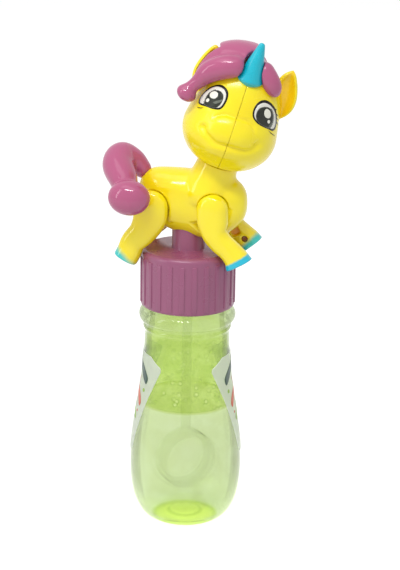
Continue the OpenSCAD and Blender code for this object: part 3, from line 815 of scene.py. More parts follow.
# Bubbles that cling to the inside of the wall: degrees round the axis, height and radius
BUBBLES = [
    (-30, 55.2, 1.3), (-26, 57.0, 0.9), (-33, 58.4, 0.8), (-28, 60.4, 1.1), (-31, 62.6, 0.7),
    (-36, 56.4, 0.6), (-24, 54.0, 0.8), (-122, 53.4, 0.9), (-118, 54.4, 0.6), (-126, 55.2, 0.5),
    (-57, 64.6, 0.8), (-62, 63.2, 0.5), (-108, 64.2, 0.6), (-112, 66.4, 0.4), (-38, 75.4, 1.0),
    (-44, 74.2, 0.5), (-80, 60.5, 0.4), (-92, 57.2, 0.4), (60, 54.6, 1.0), (95, 56.0, 0.8),
    (130, 53.6, 1.1), (150, 58.0, 0.6), (20, 61.0, 0.7), (-150, 60.0, 0.8),
]


def make_bubbles():
    one = egg("bubble", (0, 0, 0), (1, 1, 1))
    bubbles = []
    for turn, z, r in BUBBLES:
        reach = side_r(z) - WALL - 0.55 * r
        turn = math.radians(turn)
        spot = Vector((reach * math.cos(turn), reach * math.sin(turn), z)) * MM
        flat = Matrix.Rotation(turn, 4, "Z") @ Matrix.Diagonal((0.5 * r, r, r, 1))
        bubbles.append(placed(linked("bubble", one.data.copy()), Matrix.Translation(spot) @ flat))
    bpy.data.objects.remove(one)
    bubbles = smooth(named(joined(*bubbles), "wall_bubbles"), 60)
    dress(bubbles, bubble_film(), "bottle", "solution")


# Pattern of the labels, as distances from the middle and heights: outlines of waves, and spots with a radius
LABEL_WAVES = [
    (print_green, ((-7, 68.4), (-2, 65.8), (4, 64), (9, 60), (9.8, 63), (5, 67.4), (-1, 69.4), (-6, 71))),
    (print_orange, (
        (-6, 57.8), (-1, 55.4), (4, 53.4), (7, 50), (7.8, 52), (5, 55.6), (0, 57.6), (-5, 59.6))),
    (print_lime, ((-5, 48.6), (0, 46.8), (4.4, 43.6), (5.2, 45), (1, 48.4), (-4, 50))),
]
LABEL_SPOTS = [
    (print_lime, -7.6, 62.6, 1.1), (print_lime, 8.2, 57.2, 0.8), (print_orange, 1.4, 60.6, 0.8),
    (print_green, -4.4, 53, 0.7), (print_orange, 5.6, 47.6, 0.6), (print_green, -1.2, 42.4, 0.8),
]
# How far the outside of the film lies off the bottle's side, and the ink off the film
FILM_LIFT, INK_LIFT = 0.37, 0.03


def label_place(turn):
    """Where a point of a flat label drawing comes to lie on the bottle, and which way it faces."""
    def lay(s, z):
        r = side_r(z) + FILM_LIFT
        angle = math.radians(turn) + math.asin(min(max(s / r, -1), 1))
        out = Vector((math.cos(angle), math.sin(angle), 0))
        return np.array(out * r * MM + Vector((0, 0, z)) * MM), np.array(out)
    return lay


def disc(x, y, r):
    turns = np.linspace(0, 2 * math.pi, 48, endpoint=False)
    return np.c_[x + r * np.cos(turns), y + r * np.sin(turns)]


def make_labels():
    """White film on two sides, each with slanting waves and some spots for a pattern."""
    for side, turn, near in (("right", 194, 1), ("left", 14, -1)):
        label = smooth(copied(f"{side}_label_film", f"{side}_label"), 30)
        label.data.materials.append(label_white)
        label.data.materials.append(label_back)
        for face in label.data.polygons:
            face.material_index = int(faces_in(face))
        dress(label, None, "bottle", "label_film", f"{side}_label")
        shapes = [("wave", loop_through([(near * s, z) for s, z in wave]), ink) for ink, wave in LABEL_WAVES]
        shapes += [("spot", disc(near * s, z, r), ink) for ink, s, z, r in LABEL_SPOTS]
        lay = label_place(turn)
        patches = [printed(name, shape, lay, INK_LIFT, ink) for name, shape, ink in shapes]
        print_sheet(f"{side}_label_print", patches, "label_film", "bottle")


# Cap and wand

RIB_FOOT, RIB_TOP, RIB_STEP, RIB_HALF, RIB_LIFT = CAP_FOOT + 1.2, CAP_TOP - 3.1, 15, 2.3, 0.4
LINER_R, LINER_HOLE, LINER_T = 17.05, 4.1, 1.2
POST_R, POST_TOP = 6.5, CAP_TOP + 11.8
RING_R, RING_Z, RING_HALF, TEETH, TOOTH = 12.2, 25.0, 3.5, 48, 0.6


def make_cap():
    turns = np.radians(range(0, 91, 10))
    edge = [(CAP_R - 2 * (1 - math.cos(a)), CAP_TOP - 2 * (1 - math.sin(a))) for a in turns]
    bore, lid = CAP_R - CAP_WALL, CAP_TOP - 1.8
    skirt = [
        (bore, CAP_FOOT + 0.2), (CAP_R - 1.3, CAP_FOOT), (CAP_R - 0.3, CAP_FOOT), (CAP_R, CAP_FOOT + 0.3),
        (CAP_R, RIB_FOOT), (CAP_R, RIB_TOP),
    ]
    post = [
        (6.9, CAP_TOP), (6.6, CAP_TOP + 0.12), (POST_R, CAP_TOP + 0.4), (POST_R, POST_TOP), (TIP, POST_TOP),
    ]
    inside = [(TIP, lid), (bore, lid), (bore, CAP_FOOT + 0.2)]
    cap = turned("ribbed_cap", skirt + edge + post + inside, 240)

    def on_rib(x, y, z):
        step = math.degrees(math.atan2(y, x)) % RIB_STEP
        outside = RIB_FOOT < z < RIB_TOP and math.hypot(x, y) > CAP_R - 0.5
        return outside and abs(step - RIB_STEP / 2) < RIB_HALF

    raise_faces(cap, on_rib, RIB_LIFT)
    dress(smooth(bevelled(cap, 0.16, 50), 45), cap_plastic, "cap", "cap_plastic", "screw_cap")


def make_liner():
    top = MOUTH_Z + LINER_T
    foot = (LINER_HOLE, MOUTH_Z)
    corners = [foot, (LINER_R, MOUTH_Z), (LINER_R, top), (LINER_HOLE, top), foot]
    liner = smooth(bevelled(turned("cap_liner_disc", corners), 0.15, 40))
    dress(liner, liner_foam, "liner", "liner_foam", "cap_liner")


def make_wand():
    """Toothed ring on a stem. The ring is turned flat, toothed, and then set up on its edge."""
    core, bore, half = RING_R - TOOTH, RING_R - 2.4, RING_HALF
    rim = [
        (bore, -half + 0.3), (bore + 0.3, -half), (core - 0.2, -half), (core, -half + 0.2), (core, half - 0.2),
        (core - 0.2, half), (bore + 0.3, half), (bore, half - 0.3), (bore, -half + 0.3),
    ]
    wand = turned("toothed_wand", rim, TEETH * 4)

    def on_tooth(x, y, z):
        step = math.degrees(math.atan2(y, x)) % (360 / TEETH)
        return step < 180 / TEETH and math.hypot(x, y) > core - 0.15 and abs(z) < half - 0.1

    raise_faces(wand, on_tooth, TOOTH)
    upright = Matrix.Rotation(math.radians(40), 4, "Z") @ Matrix.Rotation(math.pi / 2, 4, "X")
    placed(wand, Matrix.Translation((0, 0, RING_Z * MM)) @ upright)
    foot = RING_Z + RING_R - 1.4
    stem = [
        (TIP, foot), (3.0, foot), (2.5, foot + 1.0), (2.1, foot + 2.4), (2.0, foot + 4), (2.0, CAP_TOP + 5.6),
        (1.6, CAP_TOP + 6), (TIP, CAP_TOP + 6),
    ]
    combined(wand, "UNION", turned("wand_stem", stem, 32))
    dress(smooth(wand, 35), milky_plastic(), "cap", "natural_plastic", "bubble_wand")


# Figure: the body and the neck. Stations along X with the centre's height, the reach up, the reach down and
# the share of the full width

BODY_MID, BODY_REACH, BODY_HALF = 1.6, 21.9, 9.4
BODY_KNOTS = [
    (-20.2, 20.6, 15.4, 11.6, 0.96),
    (-10, 20.2, 12.6, 12.3, 0.98),
    (0, 19.2, 12.8, 13.2, 1),
    (10, 18.6, 13, 13.8, 1),
    (23.4, 19.4, 13, 12, 0.9),
]
NECK_KNOTS = [(-16, 10.5), (-10, 10.5), (-5, 9), (0.6, 8.1), (4, 8.1)]
NECK_LOW, NECK_HIGH, NECK_TOP = -16, 3, 0.6
FLANK_LINE = [
    (-16, 25.6), (-13.1, 26), (-8.5, 26), (-3.3, 26.4), (0.4, 25.4), (4.2, 24.2), (8, 24.6), (10.6, 26.2),
    (12.5, 27.6),
]
# Where the legs turn, the room that each needs, and the directions that it swings through, from straight down
LEG_PLANE, LEG_SEAT = 10.6, 6.4
SHOULDER, HIP = (12.2, 18.9), (-12.7, 18.0)
ROOMS = [(SHOULDER, 6.05, (8, 20, 33, 45, 58)), (HIP, 6.65, (-8, -17, -25.5, -34, -43))]
BODY_SEAM, HEAD_SEAM = 0.1, 0.2


def body_shape(h, turn):
    x = BODY_MID + BODY_REACH * h
    full = (1 - np.abs(h) ** BODY_END_POWER) ** (1 / BODY_END_POWER)
    mid, up, down, side = on_curve(BODY_KNOTS, x).T
    reach = np.where(np.cos(turn) > 0, up + 0.2, down + 0.2)
    across = -side * full * BODY_HALF * bulge(np.sin(turn), BODY_POWER)
    return np.c_[x, across, mid + reach * full * bulge(np.cos(turn), BODY_POWER)]


def room_limit(x, z, at, half, turns):
    """How far the body may reach to the side: under a leg, where it swings, and round its disc."""
    dx, dz = x - at[0], z - at[1]
    far = np.hypot(dx, dz)
    gap = far - half
    for turn in np.radians(turns):
        along = dx * math.sin(turn) - dz * math.cos(turn)
        off = np.abs(dx * math.cos(turn) + dz * math.sin(turn)) - half
        gap = np.minimum(gap, np.where(along > 0, off, 99))
    ahead = dx * np.sign(turns[0])
    steep = np.minimum(np.interp(dz, (-6, 0), (0.5, 18)), np.interp(ahead, (2, 6), (18, 0.9)))
    swept = steep * np.clip(gap, 0, None)
    rim = np.clip(far - half + 0.5, 0, None)
    ring = np.minimum(14 * rim, 1.9 + 2.2 * (rim - 0.136))
    above = np.clip(dz / 1.5, 0, 1)
    return LEG_SEAT - 0.05 + np.maximum(swept, ring * above)


def seat_legs(body):
    """Flattens the body's sides where the legs lie and swing: a shallow crease above, soft edges below."""
    co = points_of(body)[0]
    local = in_frame(FIGURE, co)
    x, y, z = local.T
    limit = np.min([room_limit(x, z, *room) for room in ROOMS], axis=0)
    local[:, 1] = np.sign(y) * np.minimum(np.abs(y), limit)
    local[:, 2] += CAP_TOP
    moved = local * MM
    above = in_frame(NECK, co)
    high = above[:, 2] > NECK_TOP
    above[:, 2] = np.minimum(above[:, 2], NECK_TOP)
    neck = np.array(NECK)
    moved[high] = above[high] * MM @ neck[:3, :3].T + neck[:3, 3]
    set_points(body, moved)
    smoothed(body, 4)


def raise_flank(body):
    """Raises a soft wavy ridge along each flank."""
    co = points_of(body)[0]
    local = in_frame(FIGURE, co)
    gap, along = far_from(line_through(FLANK_LINE), local[:, ::2])
    ends = np.clip(np.minimum(along, 1 - along) * 6, 0, 1)
    lift = 0.4 * ends * np.exp(-((gap / 2.4) ** 2)) * np.clip((np.abs(local[:, 1]) - 4) / 2, 0, 1)
    set_points(body, co + np.c_[0 * lift, np.sign(local[:, 1]) * lift, 0 * lift] * MM)


def make_body():
    body = shaped("figure_body", body_shape, FIGURE)
    outline = [(float(on_curve(NECK_KNOTS, w)[0, 0]), w) for w in np.linspace(NECK_LOW, NECK_HIGH, 24)]
    neck = placed(turned("neck", [(TIP, NECK_LOW), *outline, (TIP, NECK_HIGH)]), NECK)
    body = melted(joined(body, neck), pitch=0.35, rounds=60)
    raise_flank(body)
    seat_legs(body)
    for side, way in (("right", -1), ("left", 1)):
        half = half_of(body, f"figure_body_{side}", (0, 0, 0), (0, way, 0), BODY_SEAM)
        dress(half, body_plastic, "cap", "figure_plastic", f"body_{side}")
    bpy.data.objects.remove(body)


# Tail and locks of hair: stations along each with the centre's place and the half width
TAIL_KNOTS = [
    (0, -16.4, 0, 28.4, 3.4),
    (3.3, -18.9, 0, 30.4, 3.7),
    (8.3, -22.7, 0, 33.8, 4.8),
    (13.1, -26.6, -2, 35.1, 6.35),
    (18.5, -27, -7, 33.2, 6.35),
    (26.3, -23.3, -13, 29.5, 5.7),
    (32, -20.8, -17, 26.6, 4.8),
    (36.6, -18.6, -20.4, 24.4, 4.6),
]


def make_tail():
    tail = strand("figure_tail", TAIL_KNOTS, (0.6, 0.2, 0.77), FIGURE, 3)
    ball = egg("tail_ball", (-18.5, -21.2, 24.2), (8.4, 6.25, 7), FIGURE)
    dress(melted(joined(tail, ball), pitch=0.35, rounds=30), hair_plastic, "cap", "hair_plastic", "tail")


# Head: stations up it with the half width, the reach to the front and the reach to the back

HEAD_KNOTS = [
    (-1, 23.2, 21.3, 15),
    (5.5, 22, 21.6, 15),
    (13, 20.3, 21.2, 15.2),
    (20, 17.9, 19.2, 15.8),
    (26, 16.7, 16.4, 16.2),
    (46, 16.8, 16.5, 16.6),
]
# Stations up an ear with its inner and outer edge and its half thickness
EAR_KNOTS = [
    (24.2, -14, -16.8, 1.5),
    (28.5, -12.5, -20.1, 2.8),
    (33, -11.6, -20.9, 3.2),
    (37.5, -11, -20, 3),
    (41.5, -12, -18.4, 2.2),
    (45.2, -14.9, -16.4, 0.5),
]
EAR_FOOT, EAR_TOP, EAR_HALF = 24.2, 45.2, 10.5
# Marks on the face are drawn across it and up it, at this depth on the photograph's lines of sight
DEPTH = 16
SIGHT = Vector((1, -0.0737, 0.3836))
NOSE_LINE = [
    (-8.3, 20.4), (-7.6, 22.3), (-6.5, 23.4), (-4.9, 24.3), (-3, 24.6), (-1.1, 24.5), (0.4, 24.5),
    (2.3, 24.5), (4.3, 24.6), (5.9, 24.1), (7, 23.4), (8, 22.2), (8.6, 20.8),
]
SMILE_LINE = [
    (-11.2, 17.2), (-9.8, 15.3), (-7.3, 13.5), (-4, 12.2), (0.5, 12.4), (3.9, 12.6), (7.2, 13.1), (10, 15),
    (11, 17.2),
]
# Depth, half width and fading of each line, and the height, half width, middle and half height of each lump
FACE_LINES = [(SMILE_LINE, 1.05, 0.95, 8, 0.5), (NOSE_LINE, 0.65, 0.8, 6, 0.1)]
FACE_LUMPS = [(0.95, 8.6, 19, 5.4), (0.5, 8, 9.6, 2.4)]


def head_shape(h, turn):
    w = 22.5 + np.where(h < 0, 23.5, 20.8) * h
    half, front, back = on_curve(HEAD_KNOTS, w).T * np.sqrt(1 - h**2)
    c = np.cos(turn)
    x = np.where(c > 0, front, back) * bulge(c, HEAD_POWER)
    return np.c_[x, half * bulge(np.sin(turn), HEAD_POWER), w]


def ear_shape(h, turn):
    w = EAR_FOOT + EAR_HALF * (1 + h)
    inner, outer, thick = on_curve(EAR_KNOTS, w).T
    ends = round_end((1 - h) * EAR_HALF, 2) * round_end((1 + h) * EAR_HALF, 2)
    half, thick = (inner - outer) / 2 * ends, thick * ends
    x, y = thick * np.sin(turn), -half * np.cos(turn)
    share = y / np.maximum(half - 1.1, 0.1)
    dish = 2.2 - thick * np.sqrt(np.clip(1 - share**2, 0, 1))
    x = np.where((x > 0) & (np.abs(share) < 1), np.minimum(x, dish), x)
    return np.c_[x - 1, (inner + outer) / 2 + y, w]


def carve_face(head):
    co, no = points_of(head)
    local = in_frame(HEAD, co)
    front = np.clip((local[:, 0] - 6) / 2, 0, 1)
    flat = local[:, 1:] - (local[:, :1] - DEPTH) * np.array(SIGHT[1:])
    moved = np.zeros(len(co))
    for line, depth, half, fade, start in FACE_LINES:
        gap, along = far_from(line_through(line), flat)
        ends = np.clip(np.minimum(along, 1 - along) * fade + start, 0, 1)
        moved -= depth * ends * np.exp(-((gap / half) ** 2))
    for height, half, mid, tall in FACE_LUMPS:
        lump = (flat[:, 0] / half) ** 2 + ((flat[:, 1] - mid) / tall) ** 2
        moved += height * np.exp(-(lump**2))
    for corner in (SMILE_LINE[0], SMILE_LINE[-1]):
        gap = np.linalg.norm(flat - np.array(corner), axis=1)
        moved -= 0.7 * np.exp(-((gap / 1.3) ** 2))
    set_points(head, co + no * (moved * front)[:, None] * MM)
    smoothed(head, 6)


def shade_ears(head):
    """Marks the hollow of each ear for its amber painted shade."""
    co, no = points_of(head)
    local = in_frame(HEAD, co)
    facing = (no @ np.array(HEAD.to_3x3()))[:, 0]
    v, w = -np.abs(local[:, 1]), np.clip(local[:, 2], EAR_FOOT, EAR_TOP)
    inner, outer, _ = on_curve(EAR_KNOTS, w).T
    off = np.abs(v - (inner + outer) / 2) / np.maximum((inner - outer) / 2 - 0.5, 0.3)
    share = np.clip((1.02 - off) * 2.2, 0, 1) * np.clip(facing * 2 + 0.3, 0, 1) * (local[:, 0] < 2.4)
    share *= (local[:, 2] > 24.5) & (local[:, 2] < 44.8)
    # Share of the amber painted shade at each point of the ears
    layer = head.data.attributes.new("ear_shade", "FLOAT", "POINT")
    layer.data.foreach_set("value", share.astype(np.float32))


def face_place(head):
    """Where a mark on the face comes to lie on the head, and which way it faces."""
    skin = BVHTree.FromObject(head, bpy.context.evaluated_depsgraph_get())
    sight = (HEAD.to_3x3() @ SIGHT).normalized()

    def lay(v, w):
        spot = HEAD @ (Vector((DEPTH, v, w)) * MM)
        place, normal, *_ = skin.ray_cast(spot + sight * 0.03, -sight)
        if place is None:
            place, normal, *_ = skin.find_nearest(spot)
        return np.array(place), np.array(normal)
    return lay


# Printed eyes, as the outlines of their layers from the lowest to the highest; the sheen layer is a painted
# reflection, not print
RIGHT_EYE = {
    "line": [
        (-15.7, 26.7), (-15.8, 28), (-15.4, 29.8), (-14.6, 31.7), (-13.5, 33.4), (-12, 34.6), (-10.5, 35.3),
        (-9, 35.3), (-7.6, 34.6), (-6.5, 33.5), (-6, 32.2), (-5.8, 30.5), (-6, 28.6), (-6.5, 26.9), (-7.3, 25.9),
        (-8.7, 25.5), (-10.3, 25.4), (-12.3, 25.6), (-14.3, 25.7), (-15.2, 26)],
    "white": [
        (-15.4, 27), (-15.5, 28.2), (-15, 30), (-14.1, 31.9), (-12.9, 33.4), (-11.4, 34.4), (-9.8, 34.6),
        (-8.3, 34.2), (-7.2, 33.2), (-6.6, 32), (-6.4, 30.6), (-6.5, 28.9), (-6.9, 27.4), (-7.6, 26.4),
        (-8.6, 26.1), (-10.3, 26), (-12.3, 26.1), (-14.1, 26.2), (-15, 26.4)],
    "iris": [
        (-13.3, 26.3), (-13.5, 27.6), (-13.4, 29.2), (-12.9, 30.9), (-11.9, 32.3), (-10.6, 32.9), (-9.2, 32.8),
        (-8.1, 32.1), (-7.5, 31.1), (-7.3, 29.9), (-7.5, 28.2), (-8, 27), (-8.8, 26.2), (-10.6, 25.8),
        (-12.3, 25.9)],
    # Painted reflection, not print
    "sheen": [
        (-10.4, 27.8), (-9.6, 28.6), (-8.5, 29.3), (-7.3, 30), (-7.3, 29.4), (-7.9, 28.6), (-8.7, 27.9),
        (-9.6, 27.5)],
    "light": [
        (-9.8, 31.9), (-9.5, 30.7), (-10.1, 29.6), (-11.3, 29.3), (-12.3, 29.8), (-12.6, 30.9), (-12, 32),
        (-10.8, 32.4)],
    "glint": [
        (-12, 28), (-12.3, 27.5), (-12.7, 27.3), (-13.1, 27.6), (-13.2, 28.2), (-12.9, 28.8), (-12.4, 28.9),
        (-12.1, 28.6)],
}
RIGHT_LASHES = [[(-16.1, 24.4), (-15.1, 24.45), (-14.1, 24.5), (-13.2, 24.8), (-14, 24.2), (-15, 24.1)]]
LEFT_EYE = {
    "line": [
        (8.1, 35.2), (9.6, 35.2), (11.3, 34.6), (12.6, 33.6), (13.5, 32.4), (14.2, 30.9), (14.7, 29.3),
        (15.1, 27.4), (15, 25.9), (14.3, 25), (12.9, 25), (10.7, 25), (8.6, 25.3), (7.2, 26), (6.1, 26.9),
        (5.5, 27.9), (5.2, 29.3), (5.2, 30.8), (5.6, 32.6), (6.5, 34.2), (7.3, 34.8)],
    "white": [
        (8.2, 34.2), (9.5, 34.3), (10.9, 33.9), (12.2, 33.1), (13.3, 31.9), (13.9, 30.6), (14.4, 29.2),
        (14.7, 27.7), (14.6, 26.2), (14, 25.5), (12.8, 25.5), (10.7, 25.6), (8.7, 25.9), (7.3, 26.5),
        (6.4, 27.3), (5.9, 28.2), (5.7, 29.4), (5.7, 30.7), (6.2, 32.4), (7.1, 33.6)],
    "iris": [
        (8.8, 32.6), (10.1, 32.9), (11.4, 32.5), (12.3, 31.4), (13, 30), (13.3, 28.4), (13.2, 26.9),
        (12.8, 25.7), (11.7, 25.4), (10, 25.5), (8.5, 25.9), (7.5, 26.7), (6.8, 27.9), (6.6, 29.4),
        (6.9, 30.9), (7.7, 31.9)],
    # Painted reflection, not print
    "sheen": [(12.6, 26.2), (12.9, 27.4), (13.2, 27.9), (13.5, 27.1), (13.4, 26.1), (13.1, 25.8)],
    "light": [
        (11.6, 31.1), (11.9, 29.8), (11.3, 28.9), (10.2, 28.9), (9.3, 29.9), (9.1, 31.3), (9.6, 32.2),
        (10.7, 32.1)],
    "glint": [
        (12.4, 27.8), (12.4, 27.3), (12.1, 27), (11.7, 27.1), (11.4, 27.6), (11.5, 28.2), (11.8, 28.4),
        (12.2, 28.3)],
}
LEFT_LASHES = [
    [(12.8, 24.4), (14.1, 23.9), (15.9, 23.7), (15.9, 23.4), (14.2, 23.6)],
    [(11.3, 34.1), (12, 33.9), (13.4, 33.7), (13.1, 33.3), (12, 33.2)],
    [(13, 32.8), (13.4, 32.4), (15, 31.6), (14.5, 31.6), (13.3, 31.8)],
    [(13.9, 31.3), (14.2, 30.9), (15.6, 30.2), (15.1, 30.2), (14.2, 30.4)],
    [(14.5, 29.9), (14.8, 29.5), (16.1, 28.4), (15.6, 28.5), (14.7, 28.9)],
]


def ragged(outline, reach, share):
    """The outline drawn out from its middle, with fine streaks over a share of its length."""
    steps = 96
    ring = loop_through(outline, steps)
    middle = ring.mean(axis=0)
    grow = np.full(steps, 1 + 0.4 * reach)
    first, last = (int(steps * place) for place in share)
    streak = np.arange(steps)
    grow += np.where((streak >= first) & (streak < last), reach * (streak % 3) / 2, 0)
    return middle + (ring - middle) * grow[:, None]


def make_eye(name, lay, layers, lashes, share):
    rings = {layer: loop_through(outline) for layer, outline in layers.items()}
    rings["line"] = ragged(layers["line"], 0.09, (0, 0))
    rings["shade"] = ragged(layers["iris"], 0.12, share)
    inks = [
        ("line", 0.04, eye_dark), ("white", 0.07, eye_white), ("shade", 0.10, eye_grey),
        ("iris", 0.13, eye_iris), ("sheen", 0.16, eye_painted_sheen), ("light", 0.16, eye_light),
        ("glint", 0.16, eye_light),
    ]
    patches = [printed(layer, rings[layer], lay, lift, ink) for layer, lift, ink in inks]
    patches += [printed("lash", np.array(lash), lay, 0.04, eye_dark) for lash in lashes]
    print_sheet(name, patches, "figure_plastic", "head")


def make_head():
    head = shaped("figure_head", head_shape, HEAD)
    combined(head, "DIFFERENCE", pillar("neck_recess", 8.6, -5, 0.9, HEAD))
    ears = [shaped("ear", ear_shape, place) for place in (HEAD, HEAD @ MIRROR)]
    head = melted(joined(head, *ears), pitch=0.35, rounds=20)
    carve_face(head)
    shade_ears(head)
    lay = face_place(head)
    make_eye("right_eye_print", lay, RIGHT_EYE, RIGHT_LASHES, (0.0, 0.35))
    make_eye("left_eye_print", lay, LEFT_EYE, LEFT_LASHES, (0.1, 0.5))
    yellow = head_plastic()
    across = HEAD.to_3x3() @ Vector((0, 1, 0))
    for side, way in (("right", -1), ("left", 1)):
        half = half_of(head, f"figure_head_{side}", HEAD.translation, across * way, HEAD_SEAM)
        dress(half, yellow, "head", "figure_plastic", f"head_{side}")
    bpy.data.objects.remove(head)


HORN = HEAD @ Matrix.Translation(Vector((8.2, 0.4, 38.6)) * MM) @ Matrix.Rotation(math.radians(2), 4, "Y")
HORN_R, HORN_L, HORN_TIP = 5.2, 15.0, 1.3


def make_horn():
    foot = [(TIP, -3), (2.6, -3), (4.8, -0.8), (5.08, -0.35), (5.18, 0.05), (5.12, 0.4)]
    side = [(HORN_R * (1 - z / 18.6), z) for z in np.linspace(1, 13.6, 12)]
    turns = np.radians(range(15, 91, 15))
    tip = [(max(HORN_TIP * math.cos(a), TIP), HORN_L - HORN_TIP * (1 - math.sin(a))) for a in turns]
    horn = smooth(placed(turned("figure_horn", foot + side + tip), HORN), 60)
    dress(horn, horn_plastic, "head", "horn_plastic", "horn")


# Hair on each side of the parting: reach to the side, height of the foot, height of the top and fullness
RIGHT_HAIR, LEFT_HAIR = (20.6, 29.5, 50.4, 2.4), (12.8, 31, 47.2, 1.5)
HAIR_FRONT, HAIR_BACK = 13.6, 17.6
RIGHT_LOCK = [
    (0, 9, -2.5, 42.6, 4.2),
    (6, 9.4, -8.2, 41.3, 4.6),
    (10.5, 8.8, -12, 39, 4.6),
    (15, 8, -15.4, 35.8, 4.2),
    (19.4, 7.4, -18, 31, 2.9),
    (22.6, 7.4, -19.6, 28.2, 2.7),
    (25.4, 7.5, -20.6, 25.6, 4.1),
    (29, 7.5, -21.5, 22.3, 4.5),
]
LEFT_LOCK = [
    (0, 5.4, -2.4, 45.2, 3.4),
    (4.4, 7.8, -5, 43, 3.8),
    (9.4, 8.6, -8.6, 39.8, 3.7),
    (14, 7.6, -11.3, 36.6, 2.8),
    (16.2, 6.8, -12.4, 35.2, 1.9),
]
# Stations up the fall of hair with its half width, its reach to the back and how far it lies to the left
FALL_KNOTS = [
    (-2.8, 7.6, 15.2, 4.4),
    (4, 10.5, 17.4, 3),
    (18, 14, 19, 0),
    (34, 14, 19.2, -0.5),
    (40, 11.4, 16.6, -3),
    (45, 8.4, 12.6, -4),
    (49.4, 2.4, 5, -4),
]
FALL_FOOT, FALL_TOP, FALL_HALF = -2.8, 49.4, 26.1
STRAND_LINES = (-0.66, -0.3, 0.02, 0.36, 0.7)


def hair_dome(reach, foot, top, full):
    def shape(h, turn):
        s = np.where(h > 0, (1 - h**2) ** (1 / full), np.sqrt(1 - h**2))
        c = np.cos(turn)
        x = np.where(c > 0, HAIR_FRONT, HAIR_BACK) * s * c
        y = reach * s * np.minimum(np.sin(turn), 0) - 0.05
        return np.c_[x, y, foot + (top - foot) * np.clip(h, 0, 1) ** (2 / full)]
    return shape


def horn_room():
    wide = HORN_R + 1.7
    return placed(turned("horn_room", [(TIP, -6), (wide, -6), (wide, -3), (2.2, HORN_L), (TIP, HORN_L)]), HORN)


def comb(name, hair, lock):
    """Hair on the right of the parting: a dome cut to a slant, and the lock that rolls out below."""
    dome = melted(shaped(name, hair_dome(*hair), HEAD), pitch=0.45, rounds=2)
    cut_off(dome, HEAD @ (Vector((0, 0, 37.3)) * MM), HEAD.to_3x3() @ Vector((-0.47, -0.47, 1)))
    behind = block("behind", (-42.8, -60, -20), (-2.8, 60, 80), HEAD)
    beside_ear = block("beside_ear", (-10, -60, -20), (2.6, -11.8, 45.6), HEAD)
    combined(dome, "DIFFERENCE", behind, beside_ear, horn_room())
    roll = strand(name, lock, (1, 0, 0.1), HEAD)
    other_side = block("other_side", (-60, -0.05, -20), (60, 60, 80), HEAD)
    combined(roll, "DIFFERENCE", other_side, horn_room())
    return melted(joined(dome, roll), pitch=0.35, rounds=26)


def fall_shape(h, turn):
    w = FALL_FOOT + FALL_HALF * (1 + h)
    half, back, left = on_curve(FALL_KNOTS, w).T
    ends = round_end((1 - h) * FALL_HALF, 3) * round_end((1 + h) * FALL_HALF, 7)
    return np.c_[-3 + (back - 3) * ends * np.minimum(np.cos(turn), 0), left + half * ends * np.sin(turn), w]


def part_strands(fall):
    """Presses lines between the strands into the fall of hair."""
    co, no = points_of(fall)
    local = in_frame(HEAD, co)
    half, _, left = on_curve(FALL_KNOTS, np.clip(local[:, 2], FALL_FOOT, FALL_TOP)).T
    across = (local[:, 1] - left) / np.maximum(half, 2)
    moved = np.zeros(len(co))
    for line in STRAND_LINES:
        sway = 0.06 * np.sin(local[:, 2] / 7 + 9 * line)
        moved -= 0.55 * np.exp(-(((across - line - sway) * half / 0.8) ** 2))
    back = np.clip((-6 - local[:, 0]) / 2, 0, 1)
    set_points(fall, co + no * (moved * back)[:, None] * MM)
    return smoothed(fall, 2)


def make_mane():
    right = comb("figure_mane_right", RIGHT_HAIR, RIGHT_LOCK)
    left = comb("figure_mane_left", LEFT_HAIR, LEFT_LOCK)
    face_out(placed(left, HEAD @ MIRROR @ HEAD.inverted()))
    fall = shaped("figure_mane_back", fall_shape, HEAD)
    combined(fall, "DIFFERENCE", pillar("neck_room", 9.7, -9, 3, HEAD))
    fall = part_strands(melted(fall, pitch=0.4, rounds=50))
    for lock, node in ((right, "mane_right"), (left, "mane_left"), (fall, "mane_back")):
        dress(lock, hair_plastic, "head", "hair_plastic", node)


# Legs: stations down each with the centre's place along X and Z, the half width and the half width along Y
FRONT_KNOTS = [
    (0, 12.2, 25.1, 6.2, 3.9),
    (6.2, 12.2, 18.9, 6.2, 3.9),
    (11, 12.4, 14, 6.1, 3.9),
    (15.5, 13.3, 9.6, 5.1, 3.9),
    (19.5, 15.8, 6.2, 4.6, 3.7),
    (23.5, 18.9, 3.6, 4.4, 3.6),
    (27.8, 21.8, 0.5, 4.8, 3.9),
    (31, 23.4, -2.3, 5.7, 4.2),
]
SHORT_KNOTS = FRONT_KNOTS[:6] + [(26.6, 21.1, 1.5, 4.5, 3.8), (29.2, 22.6, -0.6, 4.7, 4.2)]
REAR_KNOTS = [
    (0, -12.7, 24.8, 6.8, 3.5),
    (6.8, -12.7, 18, 6.8, 3.5),
    (11.5, -13.2, 13.2, 6.7, 3.5),
    (16.4, -15.8, 8, 5.6, 3.6),
    (21.5, -19.7, 3.6, 4.9, 3.6),
    (25.6, -21.2, -0.2, 4.9, 3.7),
    (29.3, -22.9, -3.6, 4.9, 3.9),
]


def at_joint(joint):
    return Matrix.Translation(Vector((joint[0], 0, joint[1])) * MM)


RAISED = at_joint(SHOULDER) @ Matrix.Rotation(math.radians(-4), 4, "Y") @ at_joint(SHOULDER).inverted()
# Each leg's stations, joint and place, and its hoof: a spot on the paint's edge, the way up, softness, colour
LEGS = {
    "front_leg_right": (
        FRONT_KNOTS, SHOULDER, FIGURE, ((22.6, -11, 115.1), (-0.52, 0, 0.85), 0.5, HOOF_CYAN)),
    "front_leg_left": (
        SHORT_KNOTS, SHOULDER, FIGURE @ MIRROR @ RAISED, ((22.4, 11, 117.2), (-0.69, 0, 0.72), 1.2, HOOF_TEAL)),
    "rear_leg_right": (
        REAR_KNOTS, HIP, FIGURE, ((-23.2, -11, 114.3), (0.7, 0, 0.71), 1.6, HOOF_TEAL)),
    "rear_leg_left": (
        REAR_KNOTS, HIP, FIGURE @ MIRROR, ((-23.2, 11, 114.3), (0.7, 0, 0.71), 1.6, HOOF_TEAL)),
}
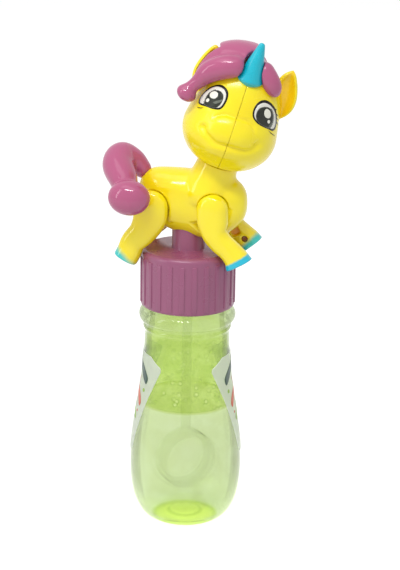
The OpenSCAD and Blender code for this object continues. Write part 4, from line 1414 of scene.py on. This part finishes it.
# Hollows in the face that meets the body: share of the leg's length, radius, sides, and the reach and colour of
# the shade painted round it
HOLLOWS = [(0.69, 2.7, 4, 2.3, RECESS_SHADE_AMBER), (0.86, 1.3, 24, 1.9, HOLE_SHADE_BROWN)]
SIDEWAYS = Matrix.Rotation(math.radians(-90), 4, "X")


def leg_shape(knots):
    end, top = knots[-1][0], knots[1][0]

    def shape(h, turn):
        run = np.arcsin(h) / math.pi + 0.5
        s = end * (1 - np.cos(math.pi / 2 * np.clip(run / 0.9, 0, 1)))
        sole = np.clip((1 - run) / 0.1, 0, 1)
        x, z, r, side = on_curve(knots, s).T
        way = way_along(knots, s, 2)
        cap = round_end(s, top)
        p = r * cap * sole * bulge(np.cos(turn), LEG_POWER)
        q = side * np.sqrt(cap) * sole * bulge(np.sin(turn), LEG_POWER)
        return np.c_[x + p * way[:, 1], q - LEG_PLANE, z - p * way[:, 0]]

    return shape


def make_legs():
    for node, (knots, at, place, hoof) in LEGS.items():
        leg = shaped(f"figure_{node}", leg_shape(knots), segments=64, rings=96)
        hollow_shades = []
        for share, r, sides, reach, shade_colour in HOLLOWS:
            x, z = on_curve(knots, share * knots[-1][0])[0, :2]
            floor = Vector((x, -LEG_PLANE + 2, z)) * MM
            tilt = Matrix.Translation(floor) @ SIDEWAYS @ Matrix.Rotation(math.radians(20), 4, "Z")
            combined(leg, "DIFFERENCE", pillar("recess", r, 0, 10, tilt, sides))
            # Where each hollow's painted shade sits once the leg is placed
            hollow_shades.append((place @ floor, reach, shade_colour))
        joint = at_joint(at) @ SIDEWAYS
        plate = pillar("plate", 5.4, -9.7, -LEG_SEAT - 0.3, joint)
        peg = pillar("peg", 2, -8.4, -1, joint)
        peg_head = pillar("peg_head", 2.8, -1.6, -0.4, joint)
        leg = placed(melted(joined(leg, plate, peg, peg_head), pitch=0.3, rounds=8), place)
        face_out(leg)
        dress(leg, leg_plastic(f"{node}_plastic", *hoof, hollow_shades), node, "figure_plastic", node)


def make_pin():
    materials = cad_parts["neck_pin"].data.materials
    materials.clear()
    materials.append(wand_plastic)


place_camera()
light_studio()
lay_floor()
make_bottle()
make_thread()
make_solution()
make_bubbles()
make_labels()
make_cap()
make_liner()
make_wand()
make_body()
make_tail()
make_head()
make_mane()
make_horn()
make_legs()
make_pin()

scene.view_settings.view_transform = "Standard"
